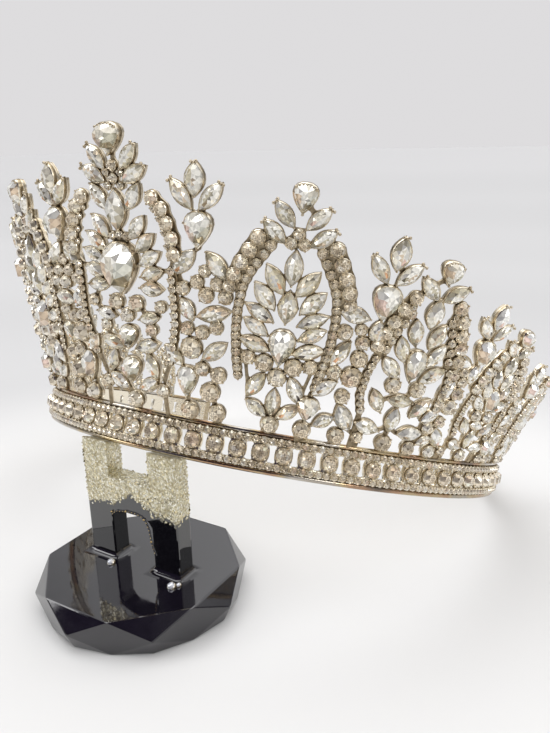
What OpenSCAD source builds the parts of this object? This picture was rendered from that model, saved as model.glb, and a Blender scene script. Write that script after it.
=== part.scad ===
// A tall pageant crown with an open back, leaning on its small display stand.
// The crown is one soldered casting that carries cut stones. The stand's posts
// lift the front of the band, and the two ends of the band touch the table.

/* [Band] */
// Outer radius of the band
band_r = 74.4; // [68:0.5:85]
// Height of the band
band_h = 10.6; // [9.6:0.2:14]
// Wall of the band
band_t = 1.4; // [1:0.1:2]
// Thickness of the wires along both rims of the band
rim_d = 1.4; // [1:0.1:2]
// How far the band reaches round from the front to each side, in degrees
band_reach = 127; // [118:1:135]
// Number of slots between the stones of the band
slot_n = 56; // [40:2:58]
// Height of a slot
slot_h = 4.4; // [3.4:0.2:5]
// Width of a slot at its top and bottom
slot_w = 2.1; // [1.4:0.1:2.6]
// Width of a slot at its waist
slot_waist = 1.6; // [0.8:0.1:2]

/* [Castings] */
// Outward lean of the castings above the band, in degrees
flare = 23.6; // [12:0.2:30]
// Thickness of the castings
cast_t = 1.6; // [1.2:0.1:2.4]
// Metal that shows round a stud on the band
stud_rim = 0.35; // [0.2:0.05:0.6]
// Width of the foot that solders a stud to the band
foot_w = 2.4; // [1.6:0.1:3]
// How far a foot reaches down over the upper rim wire
foot_d = 1; // [0.6:0.1:1.2]

/* [Heights of the motifs] */
// Height of the centre arch along its slope
centre_h = 69.5; // [60:0.5:80]
// Height of the first pair of arches
arch_1_h = 60; // [52:0.5:66]
// Height of the second pair of arches
arch_2_h = 50.3; // [44:0.1:56]
// Height of the third pair of arches
arch_3_h = 39.5; // [34:0.5:44]
// Height of the fourth pair of arches
arch_4_h = 30; // [25:0.5:34]
// Height of the last pair of arches
arch_5_h = 21; // [18:0.5:25]
// Height of the first pair of fleurs
fleur_1_h = 62; // [54:0.5:68]
// Sideways bend of the tip of the first right fleur, as a slope
fleur_1_bend = 0.09; // [0:0.01:0.12]
// Height of the second pair of fleurs
fleur_2_h = 53.5; // [46:0.5:58]
// Height of the third pair of fleurs
fleur_3_h = 44; // [38:0.5:48]
// Height of the fourth pair of fleurs
fleur_4_h = 35; // [30:0.5:39]
// Height of the last pair of fleurs
fleur_5_h = 26; // [22:0.5:29]

/* [Stones] */
// Gap between a stone and the casting behind it
seat_gap = 0.1; // [0.05:0.05:0.3]
// Rise of a cut stone as a share of its width
stone_rise = 0.5; // [0.3:0.05:0.7]
// Width of the table of a cut stone as a share of its girdle
table_share = 0.55; // [0.4:0.05:0.7]

/* [Stand] */
// Height of the line on which the front of the band rests
rest_h = 44.6; // [36:0.2:52]
// Distance from the corners of the base to its middle at the girdle
base_r = 29; // [24:0.1:36]
// The same distance at the underside
base_foot_r = 26.7; // [25:0.1:30]
// The same distance at the upper face
base_top_r = 27.2; // [25:0.1:30]
// Height of the girdle of the base
girdle_h = 5; // [3:0.1:8]
// Height of the base
base_h = 9.9; // [8.5:0.1:14]
// Width of a post
post_w = 8.6; // [6:0.1:11]
// Depth of a post
post_d = 5.5; // [4:0.1:8]
// Distance between the middles of the two posts
post_pitch = 22.4; // [18:0.2:28]
// Top of the bar between the posts
bar_top = 35; // [30:0.5:38]
// Top of the arched opening under the bar
opening_top = 25.3; // [18:0.1:28]
// Sideways place of the stand under the band
stand_x = -1; // [-4:0.5:4]
// Gap between the stand and the band, and between post and base
rest_gap = 0.1; // [0.05:0.05:0.3]

/* [Hidden] */

// Places of the motifs, in degrees from the front
arch_1_az = 27.6;
arch_2_az = 49.9;
arch_3_az = 70.3;
arch_4_az = 91;
arch_5_az = 110;
fleur_1_az = 14.1;
fleur_2_az = 41.7;
fleur_3_az = 62;
fleur_4_az = 82.5;
fleur_5_az = 101.5;

// Tilt of the crown when its front rests on the posts and its ends on the table
end_share = -cos(band_reach);
tilt = asin(rest_h / (band_r * (1 + end_share)));
lift = band_r * end_share * sin(tilt) + band_h / 2 * cos(tilt);

// The stand's middle lies under the lowest line of the front of the band
front_y = -band_r * cos(tilt) - band_h / 2 * sin(tilt);
stand_y = front_y + 1.1 * band_t + rest_gap;

// Shift along Y that brings the middle of the whole thing over the origin
function tip_y(az, h) = -cos(az) * (band_r + h * sin(flare)) * cos(tilt)
    + (band_h / 2 + h * cos(flare)) * sin(tilt);
back_y = max(tip_y(arch_4_az, arch_4_h), tip_y(arch_5_az, arch_5_h), tip_y(fleur_5_az, fleur_5_h),
    band_r * end_share * cos(tilt) + band_h / 2 * sin(tilt));
shift_y = (base_r - stand_y - back_y) / 2;

slot_step = 2 * (band_reach - 1.7) / slot_n;
big_fn = 180;
// Depth in front of a casting that is kept for its stones
room_h = 6;
stud_fn = 32;
round_n = 10;

// All lengths in the tables below are hundredths of the height of their motif.
// x runs sideways from the motif's middle line and y up its slope from the band.
// A turn is in degrees, clockwise from upright.

// Stones of the centre arch on its middle line: x, y, turn, length, width
CENTRE_LINE = [
    [0, 72.2, 0, 12.6, 7.2]
];
// Stones of the centre arch on one side, mirrored to the other
CENTRE_SIDE = [
    [7, 89.5, 40, 9.2, 4.3],
    [8.9, 83.9, 62, 10, 4.5],
    [7.6, 76.5, 35, 9.2, 4.5],
    [8.1, 66.4, 40, 9.2, 4.4],
    [10.9, 61.3, 52, 9.2, 4.2],
    [12.4, 56.1, 62, 9.2, 4.2],
    [12.8, 50.9, 75, 8.9, 4.2],
    [12.1, 45.6, 92, 8.6, 4.2],
    [9.8, 35, 80, 7.9, 3.7],
    [8, 24.6, 75, 10.1, 4.5],
    [9.3, 17.3, -20, 9.2, 4.3],
    [7, 9.9, 60, 8.4, 4.2]
];
// Round stones of the centre arch: x, y, diameter
CENTRE_ROUNDS = [
    [0, 3.4, 6.2],
    [4.6, 39.9, 5.4],
    [-4.6, 39.9, 5.4]
];
// Half outline of the centre casting: x, y
CENTRE_EDGE = [
    [0, 5], [3.5, 5], [8.6, 7.5], [11.6, 11.5], [12.5, 15.5], [15.5, 18.5], [18.3, 18.5], [21.2, 28],
    [22.9, 34], [22.9, 54], [25.4, 56.5], [25.8, 59], [25.3, 64.5], [23.5, 69.8], [21.3, 74.5],
    [16.5, 79], [11.6, 80.5], [10, 81.5], [14, 86], [13.5, 87.5], [9.5, 87.3], [11, 93],
    [10.2, 94.2], [5.5, 94.5], [5.3, 98.5], [2.8, 100.6], [0, 100.9]
];
// Gaps of the centre casting on one side, mirrored to the other
CENTRE_GAPS = [
    [[11.5, 73.5], [14.5, 73.2], [16.8, 69], [15.2, 67.5], [12, 69.5]],
    [[14.8, 65.5], [17.6, 65.8], [18.9, 60.5], [16.9, 58.8]],
    [[17.4, 57.2], [19.4, 56.8], [19.6, 46], [17.6, 44], [17.3, 50.5]],
    [[3.6, 35.5], [5.5, 33.3], [7.2, 31.5], [6.2, 28.8], [4.3, 29.5], [3.4, 32]],
    [[13.2, 33.5], [17.2, 33], [16.6, 26.5], [14.5, 25], [13.4, 28.5]]
];

// Stones of the first arches on their middle line: x, y, turn, length, width
ARCH_LINE = [
    [0, 69, 0, 12.2, 5.8],
    [0, 53.7, 0, 11.8, 6.5],
    [0, 13.6, 0, 11, 5.3]
];
ARCH_SIDE = [
    [6.3, 88.3, 43, 10.5, 4.8],
    [9.2, 81.5, 51, 10.3, 4.7],
    [6.3, 63.7, 36, 11.8, 5.5],
    [9.3, 56.7, 42, 11.6, 5.5],
    [10.3, 49.7, 63, 12, 5],
    [11, 44, 60, 10.8, 4.9],
    [10.5, 37, 74, 11.3, 5],
    [8, 20, -28, 11, 5.2],
    [6.4, 10, 55, 10.4, 5]
];
ARCH_ROUNDS = [
    [0, 3.7, 7],
    [0, 24.4, 6.8],
    [5.8, 29.8, 6.6],
    [-5.8, 29.8, 6.6]
];
ARCH_EDGE = [
    [0, 5.5], [3.5, 5.5], [8.8, 7.6], [12, 12.7], [11.5, 15.5], [13.3, 18.8], [16.3, 18.8], [19, 30],
    [20.5, 40], [21, 50], [20.5, 57.5], [24.6, 61], [24.8, 63.7], [22.6, 69.7], [20.2, 74.7],
    [17.5, 80.3], [13.8, 82.2], [13.6, 85.4], [9.7, 85.6], [10.4, 92.8], [5.7, 93.3],
    [5, 98.7], [2.5, 100.5], [0, 100.8]
];
ARCH_GAPS = [
    [[2.7, 75.5], [7.2, 75.5], [9.8, 68.7], [5.5, 68.2], [3.2, 70.8]],
    [[12, 64.2], [14, 64.3], [16, 59], [16.3, 53], [14.9, 52.7], [13.5, 59.2]],
    [[1.7, 47.2], [6.2, 46.5], [4.5, 43.2], [2.7, 44.8]],
    [[8.2, 26.5], [14.3, 27.7], [13.8, 23.5], [11.5, 20.7]]
];

// Stones of the lower arches on their middle line: x, y, turn, length, width
LOW_ARCH_LINE = [
    [0, 74.2, 0, 12.9, 7.6],
    [0, 28.2, 90, 11.9, 5.6],
    [0, 17.5, 0, 12.3, 6.4]
];
LOW_ARCH_SIDE = [
    [6.8, 85.3, 52, 12.5, 6],
    [5.8, 63.6, 18, 11.9, 6.2],
    [9.3, 54.3, 27, 12.5, 6],
    [11.3, 44.2, 52, 12.7, 6.2],
    [12.1, 26.2, 35, 11.9, 5.8],
    [12.1, 11.7, 80, 12.3, 6.4]
];
LOW_ARCH_ROUNDS = [
    [0, 4.2, 8],
    [6.8, 35.4, 7.2],
    [-6.8, 35.4, 7.2]
];
LOW_ARCH_EDGE = [
    [0, 5.5], [5, 5.5], [18.9, 9.8], [20.5, 15.5], [24.2, 26.8], [24.4, 40], [23.5, 49.5],
    [25.8, 52.5], [24.4, 60.6], [22.5, 67.2], [19.9, 74.4], [16.4, 80.8], [12.8, 84],
    [12.8, 89.8], [6.2, 91], [5.8, 97.8], [3, 100.4], [0, 100.8]
];
LOW_ARCH_GAPS = [
    [[11.3, 38], [18.4, 40.5], [19.4, 30.5], [16.8, 32.8], [13, 31.5]],
    [[5, 79.5], [7.8, 79], [10.2, 70.5], [8, 69.5], [5.2, 74]]
];

// Stones of the first fleurs, as on the right side: x, y, turn, length, width
FLEUR_STONES = [
    [0, 93.7, 0, 11.1, 6.5],
    [5.8, 88.1, 40, 11.9, 5],
    [-5.8, 88.1, -40, 11.9, 5],
    [6.8, 63.2, -42, 11.9, 5.6],
    [-6.8, 63.2, 42, 11.9, 5.6],
    [-5.8, 45.3, -32, 8.4, 4.8],
    [5.2, 44.7, 76, 12.7, 5.4],
    [5.8, 29.8, 51, 11.3, 5.3],
    [-11.1, 25.8, -45, 9, 4.7]
];
FLEUR_ROUNDS = [
    [-4, 3.5, 6.9],
    [7.4, 4.1, 6.6],
    [-3.7, 30, 8.1]
];
FLEUR_EDGE = [
    [-7.5, 5.5], [-10, 14.5], [-10.6, 20], [-13.8, 24.2], [-15.6, 29.5], [-13, 31.6], [-8.6, 31.6],
    [-9.4, 38.7], [-9, 49], [-11.6, 53.2], [-12.4, 59], [-9.8, 66.3], [-6.2, 69.8], [-6.3, 77.4],
    [-5.2, 82.7], [-2.6, 83.9], [-10, 91], [-10.5, 93.4], [-8, 93.9], [-3.2, 90.5],
    [-3.9, 93.5], [-1, 100], [1, 100], [3.9, 93.5], [3.2, 90.5], [8, 93.9], [10.5, 93.4],
    [10, 91], [2.9, 83.9], [5.6, 82.7], [6.5, 77.4], [6.2, 69.8], [9.8, 66.3], [12.4, 59],
    [13.2, 52.4], [12.2, 48.9], [12.2, 46], [10, 40.3], [9.4, 35.5], [11.1, 34.2], [10, 29.8],
    [11.6, 21.8], [11.5, 18.2], [9.7, 13], [9.5, 5.5]
];
// Height of the waist above which a fleur can be bent
FLEUR_WAIST = 56;
FLEUR_GAPS = [
    [[-4.4, 53.3], [-1.6, 53.2], [-1.5, 49.4], [-4.2, 48.6]],
    [[4.2, 26.3], [6.6, 26.6], [5.2, 23.4], [4, 23.2]]
];

// Stones of the lower fleurs, as on the right side: x, y, turn, length, width
LOW_FLEUR_STONES = [
    [0, 91.8, 0, 13.1, 7.5],
    [6.6, 83.9, 41, 12.7, 5.6],
    [-6.6, 83.9, -41, 12.7, 5.6],
    [-11.4, 62.2, -86, 12.5, 6],
    [0.4, 56.3, 0, 9.5, 6],
    [-12.9, 43.6, 24, 12.7, 5.4],
    [-15.5, 26.4, 49, 11.2, 5.6],
    [-2.9, 13.6, -35, 13.2, 7.1],
    [-11.6, 10.3, 57, 9.2, 5.2]
];
LOW_FLEUR_ROUNDS = [
    [-20, 4.1, 7.7],
    [-3.7, 3.8, 7.2]
];
LOW_FLEUR_EDGE = [
    [-23.5, 6], [-26.5, 15.9], [-23.9, 21.1], [-21.4, 24], [-18.4, 28], [-17.6, 31.8],
    [-17.2, 37.4], [-17.4, 44.9], [-18.3, 57], [-18.7, 61.7], [-17.8, 65], [-11.2, 66.4],
    [-6.7, 65.4], [-7.3, 72], [-5.8, 77.6], [-2.8, 79.6], [-11, 87.1], [-11.6, 89.7],
    [-9, 90.3], [-3.6, 87.5], [-4.3, 91.6], [-1.1, 98.9], [1.1, 98.9], [4.3, 91.6],
    [3.6, 87.5], [9, 90.3], [11.6, 89.7], [11, 87.1], [2.8, 79.6], [5.8, 77.6], [7.3, 72],
    [4.9, 63.6], [3.9, 56.1], [1.5, 48.6], [1.1, 37.4], [0.7, 29.9], [-0.9, 23.4],
    [1.5, 16.8], [3.4, 10.3], [1.9, 6]
];
LOW_FLEUR_GAPS = [
    [[-9.9, 43.9], [-8.6, 40.2], [-10.1, 37.2], [-11.8, 38.5]]
];

// Pears of the motifs: x, y, turn, length, width
CENTRE_TOP_PEAR = [0, 95.3, 0, 10, 10];
CENTRE_GREAT_PEAR = [0, 52.4, 0, 18, 14];
CENTRE_LOW_PEAR = [0, 27.6, 0, 8.2, 7.2];
CENTRE_FOOT_PEAR = [0, 15.3, 0, 9.2, 7.8];
ARCH_TOP_PEAR = [0, 95, 0, 10.8, 9.2];
ARCH_PEAR = [0, 37, 0, 14.8, 10.2];
LOW_ARCH_TOP_PEAR = [0, 94.6, 0, 10.9, 10.5];
LOW_ARCH_PEAR = [0, 47.5, 0, 15.9, 10];
FLEUR_PEAR = [0.3, 75.8, 0, 13.2, 10.6];
FLEUR_FOOT_PEAR = [-5.2, 15.6, 0, 12.9, 8.1];
LOW_FLEUR_PEAR = [0, 70.1, 0, 15.3, 12.5];
LOW_FLEUR_FOOT_PEAR = [-20.3, 14.9, 0, 11, 10.1];

// Half outline of a pear with its point down: x share of width, y share of length
PEAR_SHAPE = [[0, -0.5], [0.26, -0.27], [0.43, -0.03], [0.5, 0.19], [0.38, 0.39], [0.15, 0.5]];

// The other half of a point list, in reverse, without points on the middle line
function mirror_half(p) = [for (i = [len(p) - 1 : -1 : 0]) if (p[i][0] != 0) [-p[i][0], p[i][1]]];
function mirror_gap(p) = [for (q = p) [-q[0], q[1]]];
function both_gaps(gaps) = concat(gaps, [for (g = gaps) mirror_gap(g)]);
function both_rows(rows) = concat(rows, [for (r = rows) [-r[0], r[1], -r[2], r[3], r[4]]]);

// A fleur's points or rows, with all above its waist moved sideways by the bend
function bent(rows, bend) = [for (r = rows)
    concat(r[0] - bend * max(0, r[1] - FLEUR_WAIST), [for (i = [1 : len(r) - 1]) r[i]])];

// Outlines of the cuts, in mm
function navette(l, w) = [for (i = [0 : 7])
    let (y = i <= 4 ? -l / 2 + l * i / 4 : l / 2 - l * (i - 4) / 4)
    let (x = w / 2 * (1 - pow(2 * y / l, 2)))
    [i <= 4 ? x : -x, y]];
function pear(l, w) = [for (q = concat(PEAR_SHAPE, mirror_half(PEAR_SHAPE))) [q[0] * w, q[1] * l]];
function round_cut(d) = [for (i = [0 : round_n - 1])
    [d / 2 * cos(360 * i / round_n), d / 2 * sin(360 * i / round_n)]];

// Crown parts are drawn with the band level and centred on the origin
module rest_on_stand() {
    translate([0, shift_y, lift]) rotate([-tilt, 0, 0]) children();
}

// Side 1 is the right of the crown and side -1 its mirror image
module side_of(side) {
    if (side > 0) children();
    else mirror([1, 0, 0]) children();
}

// The sloping plane of a motif: x sideways, y up the slope, z out of the crown
module motif_plane(az) {
    rotate([0, 0, az])
        translate([0, -band_r, band_h / 2])
            rotate([90 + flare, 0, 0]) children();
}

module cut_stone(outline, w) {
    translate([0, 0, seat_gap])
        linear_extrude(height = stone_rise * w, scale = table_share) polygon(outline);
}

// One row of a table as a navette, a pear or a round stone, with u mm a hundredth
module place(row, u) {
    translate([row[0] * u, row[1] * u, 0]) rotate([0, 0, -row[2]]) children();
}

module navettes(rows, u) {
    for (r = rows) place(r, u) cut_stone(navette(r[3] * u, r[4] * u), r[4] * u);
}

module rounds(rows, u) {
    for (r = rows) translate([r[0] * u, r[1] * u, 0]) cut_stone(round_cut(r[2] * u), r[2] * u);
}

module pear_stone(az, h, row, side) {
    u = h / 100;
    color("gainsboro") rest_on_stand() side_of(side) motif_plane(az)
        place(row, u) cut_stone(pear(row[3] * u, row[4] * u), row[4] * u);
}

module stone_field(az, h, rows, round_rows, side) {
    color("whitesmoke") rest_on_stand() side_of(side) motif_plane(az) {
        navettes(rows, h / 100);
        rounds(round_rows, h / 100);
    }
}

// Motifs as a list of place, height, outline, gaps and studs
function centre_motif() = [0, centre_h, concat(CENTRE_EDGE, mirror_half(CENTRE_EDGE)),
    both_gaps(CENTRE_GAPS), [CENTRE_ROUNDS[0]]];
function arch_motif(az, h) = [az, h, concat(ARCH_EDGE, mirror_half(ARCH_EDGE)),
    both_gaps(ARCH_GAPS), [ARCH_ROUNDS[0]]];
function low_arch_motif(az, h, gap_n) = [az, h, concat(LOW_ARCH_EDGE, mirror_half(LOW_ARCH_EDGE)),
    both_gaps([for (i = [0 : gap_n - 1]) LOW_ARCH_GAPS[i]]), [LOW_ARCH_ROUNDS[0]]];
function fleur_motif(az, h, bend) = [az, h, bent(FLEUR_EDGE, bend),
    FLEUR_GAPS, [FLEUR_ROUNDS[0], FLEUR_ROUNDS[1]]];
function low_fleur_motif(az, h) = [az, h, LOW_FLEUR_EDGE, LOW_FLEUR_GAPS, LOW_FLEUR_ROUNDS];

// The motifs of one side, from the front to the end of the band
function motifs(bend) = [
    fleur_motif(fleur_1_az, fleur_1_h, bend),
    arch_motif(arch_1_az, arch_1_h),
    low_fleur_motif(fleur_2_az, fleur_2_h),
    low_arch_motif(arch_2_az, arch_2_h, 2),
    low_fleur_motif(fleur_3_az, fleur_3_h),
    low_arch_motif(arch_3_az, arch_3_h, 2),
    low_fleur_motif(fleur_4_az, fleur_4_h),
    low_arch_motif(arch_4_az, arch_4_h, 1),
    low_fleur_motif(fleur_5_az, fleur_5_h),
    low_arch_motif(arch_5_az, arch_5_h, 1)
];

module motif_outline(m) {
    polygon([for (p = m[2]) p * m[1] / 100]);
}

// Room in front of a motif that its neighbours leave to its stones
module stone_room(m) {
    motif_plane(m[0]) linear_extrude(room_h) motif_outline(m);
}

// A pierced plate, its studs and the feet that reach down over the rim wire
module casting(m) {
    u = m[1] / 100;
    motif_plane(m[0]) translate([0, 0, -cast_t]) {
        linear_extrude(cast_t) difference() {
            motif_outline(m);
            for (g = m[3]) polygon(g * u);
        }
        for (s = m[4]) translate([s[0] * u, s[1] * u, 0]) {
            cylinder(h = cast_t, r = s[2] * u / 2 + stud_rim, $fn = stud_fn);
            translate([-foot_w / 2, -s[1] * u - foot_d, 0])
                cube([foot_w, s[1] * u + foot_d, cast_t]);
        }
    }
}

module centre_casting() {
    difference() {
        casting(centre_motif());
        stone_room(motifs(fleur_1_bend)[0]);
        mirror([1, 0, 0]) stone_room(motifs(0)[0]);
    }
}

module castings_of_one_side(bend) {
    row = concat([centre_motif()], motifs(bend));
    last = len(row) - 1;
    for (i = [1 : last]) difference() {
        casting(row[i]);
        stone_room(row[i - 1]);
        if (i < last) stone_room(row[i + 1]);
    }
}

// The open ring: a wall with a wire along both rims, before its slots are cut
module band_ring() {
    rim_h = band_h / 2 - rim_d / 2;
    rotate([0, 0, -90 - band_reach]) rotate_extrude(angle = 2 * band_reach, $fn = big_fn) {
        translate([band_r - band_t, -rim_h]) square([band_t, 2 * rim_h]);
        for (s = [-1, 1]) translate([band_r - band_t / 2 + 0.1, s * rim_h])
            rotate(22.5) circle(d = rim_d / cos(22.5), $fn = 8);
    }
}

module slots() {
    half_h = slot_h / 2;
    outline = [[slot_w / 2, half_h], [slot_waist / 2, half_h / 2], [slot_waist / 2, -half_h / 2],
        [slot_w / 2, -half_h], [-slot_w / 2, -half_h], [-slot_waist / 2, -half_h / 2],
        [-slot_waist / 2, half_h / 2], [-slot_w / 2, half_h]];
    for (i = [0 : slot_n - 1]) rotate([0, 0, (i - (slot_n - 1) / 2) * slot_step])
        translate([0, -band_r + band_t / 2, 0]) rotate([90, 0, 0])
            linear_extrude(4 * band_t, center = true) polygon(outline);
}

// Band, castings and studs are soldered into one piece
module crown_frame() {
    color("silver") rest_on_stand() {
        difference() {
            band_ring();
            slots();
        }
        centre_casting();
        castings_of_one_side(fleur_1_bend);
        mirror([1, 0, 0]) castings_of_one_side(0);
    }
}

// A ring of eight points, the first of them turned from the X axis
function octagon(r, turn, z) = [for (i = [0:7]) [r * cos(45 * i + turn), r * sin(45 * i + turn), z]];

// A black block with an octagon above, its corners turned against those of the girdle.
// Each kite runs flat from an upper corner past the girdle down to the table.
module stand_base() {
    girdle_mid = base_r * cos(22.5);
    kite_r = girdle_mid - (base_top_r - girdle_mid) * girdle_h / (base_h - girdle_h);
    points = concat(octagon(base_top_r, 22.5, base_h), octagon(base_r, 0, girdle_h),
        octagon(kite_r, 22.5, 0), octagon(base_foot_r, 0, 0));
    above = [[for (i = [7:-1:0]) i]];
    below = [[for (i = [0:15]) i % 2 == 0 ? 24 + i / 2 : 16 + (i - 1) / 2]];
    kites = [for (i = [0:7]) [i, 8 + (i + 1) % 8, 16 + i, 8 + i]];
    upper = [for (i = [0:7]) [i, (i + 1) % 8, 8 + (i + 1) % 8]];
    right = [for (i = [0:7]) [8 + i, 16 + i, 24 + i]];
    left = [for (i = [0:7]) [8 + i, 24 + i, 16 + (i + 7) % 8]];
    color("black") translate([stand_x, shift_y + stand_y, 0])
        polyhedron(points, concat(above, below, kites, upper, right, left));
}

// Two posts and the bar between them, with an arched opening under the bar
module stand_fork() {
    half = post_pitch / 2 + post_w / 2;
    inner = post_pitch / 2 - post_w / 2;
    foot_z = base_h + rest_gap;
    corner = 0.35 * inner;
    // The posts end in a slope under the tilted band
    slope = tan(tilt);
    top_z = rest_h - rest_gap / cos(tilt) - slope * (stand_y - front_y);
    color("dimgray") translate([stand_x, shift_y + stand_y, 0]) difference() {
        translate([0, post_d / 2, 0]) rotate([90, 0, 0]) linear_extrude(post_d) difference() {
            translate([-half, foot_z]) square([2 * half, rest_h + post_d - foot_z]);
            translate([-inner, bar_top]) square([2 * inner, rest_h + post_d]);
            polygon([[-inner, foot_z - 1], [-inner, opening_top - corner], [-inner + 0.4 * corner,
                opening_top - 0.4 * corner], [-inner + corner, opening_top], [inner - corner, opening_top],
                [inner - 0.4 * corner, opening_top - 0.4 * corner], [inner, opening_top - corner],
                [inner, foot_z - 1]]);
        }
        translate([0, 0, top_z]) rotate([-tilt, 0, 0]) translate([-2 * half, -4 * post_d, 0])
            cube([4 * half, 8 * post_d, 4 * post_d]);
    }
}

// Pears of each motif, on the right with side 1 and on the left with side -1
module centre_pear(row) { pear_stone(0, centre_h, row, 1); }
module arch_1_pear(row, side) { pear_stone(arch_1_az, arch_1_h, row, side); }
module arch_2_pear(row, side) { pear_stone(arch_2_az, arch_2_h, row, side); }
module arch_3_pear(row, side) { pear_stone(arch_3_az, arch_3_h, row, side); }
module arch_4_pear(row, side) { pear_stone(arch_4_az, arch_4_h, row, side); }
module fleur_1_pear(row, side) {
    pear_stone(fleur_1_az, fleur_1_h, bent([row], side > 0 ? fleur_1_bend : 0)[0], side);
}
module fleur_2_pear(row, side) { pear_stone(fleur_2_az, fleur_2_h, row, side); }
module fleur_3_pear(row, side) { pear_stone(fleur_3_az, fleur_3_h, row, side); }
module fleur_4_pear(row, side) { pear_stone(fleur_4_az, fleur_4_h, row, side); }
module fleur_5_pear(row, side) { pear_stone(fleur_5_az, fleur_5_h, row, side); }

// The smaller stones of each motif
module centre_stones() {
    stone_field(0, centre_h, concat(CENTRE_LINE, both_rows(CENTRE_SIDE)), CENTRE_ROUNDS, 1);
}

module arch_1_stones(side) {
    stone_field(arch_1_az, arch_1_h, concat(ARCH_LINE, both_rows(ARCH_SIDE)), ARCH_ROUNDS, side);
}

module low_arch_stones(az, h, round_rows, side) {
    stone_field(az, h, concat(LOW_ARCH_LINE, both_rows(LOW_ARCH_SIDE)), round_rows, side);
}
module arch_2_stones(side) { low_arch_stones(arch_2_az, arch_2_h, LOW_ARCH_ROUNDS, side); }
module arch_3_stones(side) { low_arch_stones(arch_3_az, arch_3_h, LOW_ARCH_ROUNDS, side); }
module arch_4_stones(side) { low_arch_stones(arch_4_az, arch_4_h, [], side); }

module fleur_1_stones(side) {
    stone_field(fleur_1_az, fleur_1_h, bent(FLEUR_STONES, side > 0 ? fleur_1_bend : 0),
        FLEUR_ROUNDS, side);
}

module low_fleur_stones(az, h, side) {
    stone_field(az, h, LOW_FLEUR_STONES, LOW_FLEUR_ROUNDS, side);
}
module fleur_2_stones(side) { low_fleur_stones(fleur_2_az, fleur_2_h, side); }
module fleur_3_stones(side) { low_fleur_stones(fleur_3_az, fleur_3_h, side); }

crown_frame();
stand_base();
stand_fork();
centre_pear(CENTRE_TOP_PEAR);  // centre_top_pear
centre_pear(CENTRE_GREAT_PEAR);  // centre_great_pear
centre_pear(CENTRE_LOW_PEAR);  // centre_low_pear
centre_pear(CENTRE_FOOT_PEAR);  // centre_foot_pear
arch_1_pear(ARCH_TOP_PEAR, 1);  // arch_1_right_top_pear
arch_1_pear(ARCH_PEAR, 1);  // arch_1_right_pear
arch_1_pear(ARCH_TOP_PEAR, -1);  // arch_1_left_top_pear
arch_1_pear(ARCH_PEAR, -1);  // arch_1_left_pear
arch_2_pear(LOW_ARCH_TOP_PEAR, 1);  // arch_2_right_top_pear
arch_2_pear(LOW_ARCH_PEAR, 1);  // arch_2_right_pear
arch_2_pear(LOW_ARCH_TOP_PEAR, -1);  // arch_2_left_top_pear
arch_2_pear(LOW_ARCH_PEAR, -1);  // arch_2_left_pear
arch_3_pear(LOW_ARCH_TOP_PEAR, 1);  // arch_3_right_top_pear
arch_3_pear(LOW_ARCH_PEAR, 1);  // arch_3_right_pear
arch_3_pear(LOW_ARCH_TOP_PEAR, -1);  // arch_3_left_top_pear
arch_3_pear(LOW_ARCH_PEAR, -1);  // arch_3_left_pear
arch_4_pear(LOW_ARCH_TOP_PEAR, 1);  // arch_4_right_top_pear
arch_4_pear(LOW_ARCH_PEAR, 1);  // arch_4_right_pear
arch_4_pear(LOW_ARCH_TOP_PEAR, -1);  // arch_4_left_top_pear
arch_4_pear(LOW_ARCH_PEAR, -1);  // arch_4_left_pear
fleur_1_pear(FLEUR_PEAR, 1);  // fleur_1_right_pear
fleur_1_pear(FLEUR_FOOT_PEAR, 1);  // fleur_1_right_foot_pear
fleur_1_pear(FLEUR_PEAR, -1);  // fleur_1_left_pear
fleur_1_pear(FLEUR_FOOT_PEAR, -1);  // fleur_1_left_foot_pear
fleur_2_pear(LOW_FLEUR_PEAR, 1);  // fleur_2_right_pear
fleur_2_pear(LOW_FLEUR_FOOT_PEAR, 1);  // fleur_2_right_foot_pear
fleur_2_pear(LOW_FLEUR_PEAR, -1);  // fleur_2_left_pear
fleur_2_pear(LOW_FLEUR_FOOT_PEAR, -1);  // fleur_2_left_foot_pear
fleur_3_pear(LOW_FLEUR_PEAR, 1);  // fleur_3_right_pear
fleur_3_pear(LOW_FLEUR_PEAR, -1);  // fleur_3_left_pear
fleur_4_pear(LOW_FLEUR_PEAR, 1);  // fleur_4_right_pear
fleur_4_pear(LOW_FLEUR_FOOT_PEAR, 1);  // fleur_4_right_foot_pear
fleur_4_pear(LOW_FLEUR_PEAR, -1);  // fleur_4_left_pear
fleur_4_pear(LOW_FLEUR_FOOT_PEAR, -1);  // fleur_4_left_foot_pear
fleur_5_pear(LOW_FLEUR_PEAR, 1);  // fleur_5_right_pear
fleur_5_pear(LOW_FLEUR_PEAR, -1);  // fleur_5_left_pear
centre_stones();
arch_1_stones(1);  // arch_1_right_stones
arch_1_stones(-1);  // arch_1_left_stones
arch_2_stones(1);  // arch_2_right_stones
arch_2_stones(-1);  // arch_2_left_stones
arch_3_stones(1);  // arch_3_right_stones
arch_3_stones(-1);  // arch_3_left_stones
arch_4_stones(1);  // arch_4_right_stones
arch_4_stones(-1);  // arch_4_left_stones
fleur_1_stones(1);  // fleur_1_right_stones
fleur_1_stones(-1);  // fleur_1_left_stones
fleur_2_stones(1);  // fleur_2_right_stones
fleur_2_stones(-1);  // fleur_2_left_stones
fleur_3_stones(1);  // fleur_3_right_stones
fleur_3_stones(-1);  // fleur_3_left_stones
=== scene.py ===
# Scene of a tall pageant crown that leans on its small stand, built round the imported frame.
import random
from dataclasses import dataclass
from math import asin, atan2, cos, degrees, exp, hypot, pi, radians, sin

import bmesh
import bpy
import numpy as np
from mathutils import Matrix, Vector
from mathutils.geometry import tessellate_polygon


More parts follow.
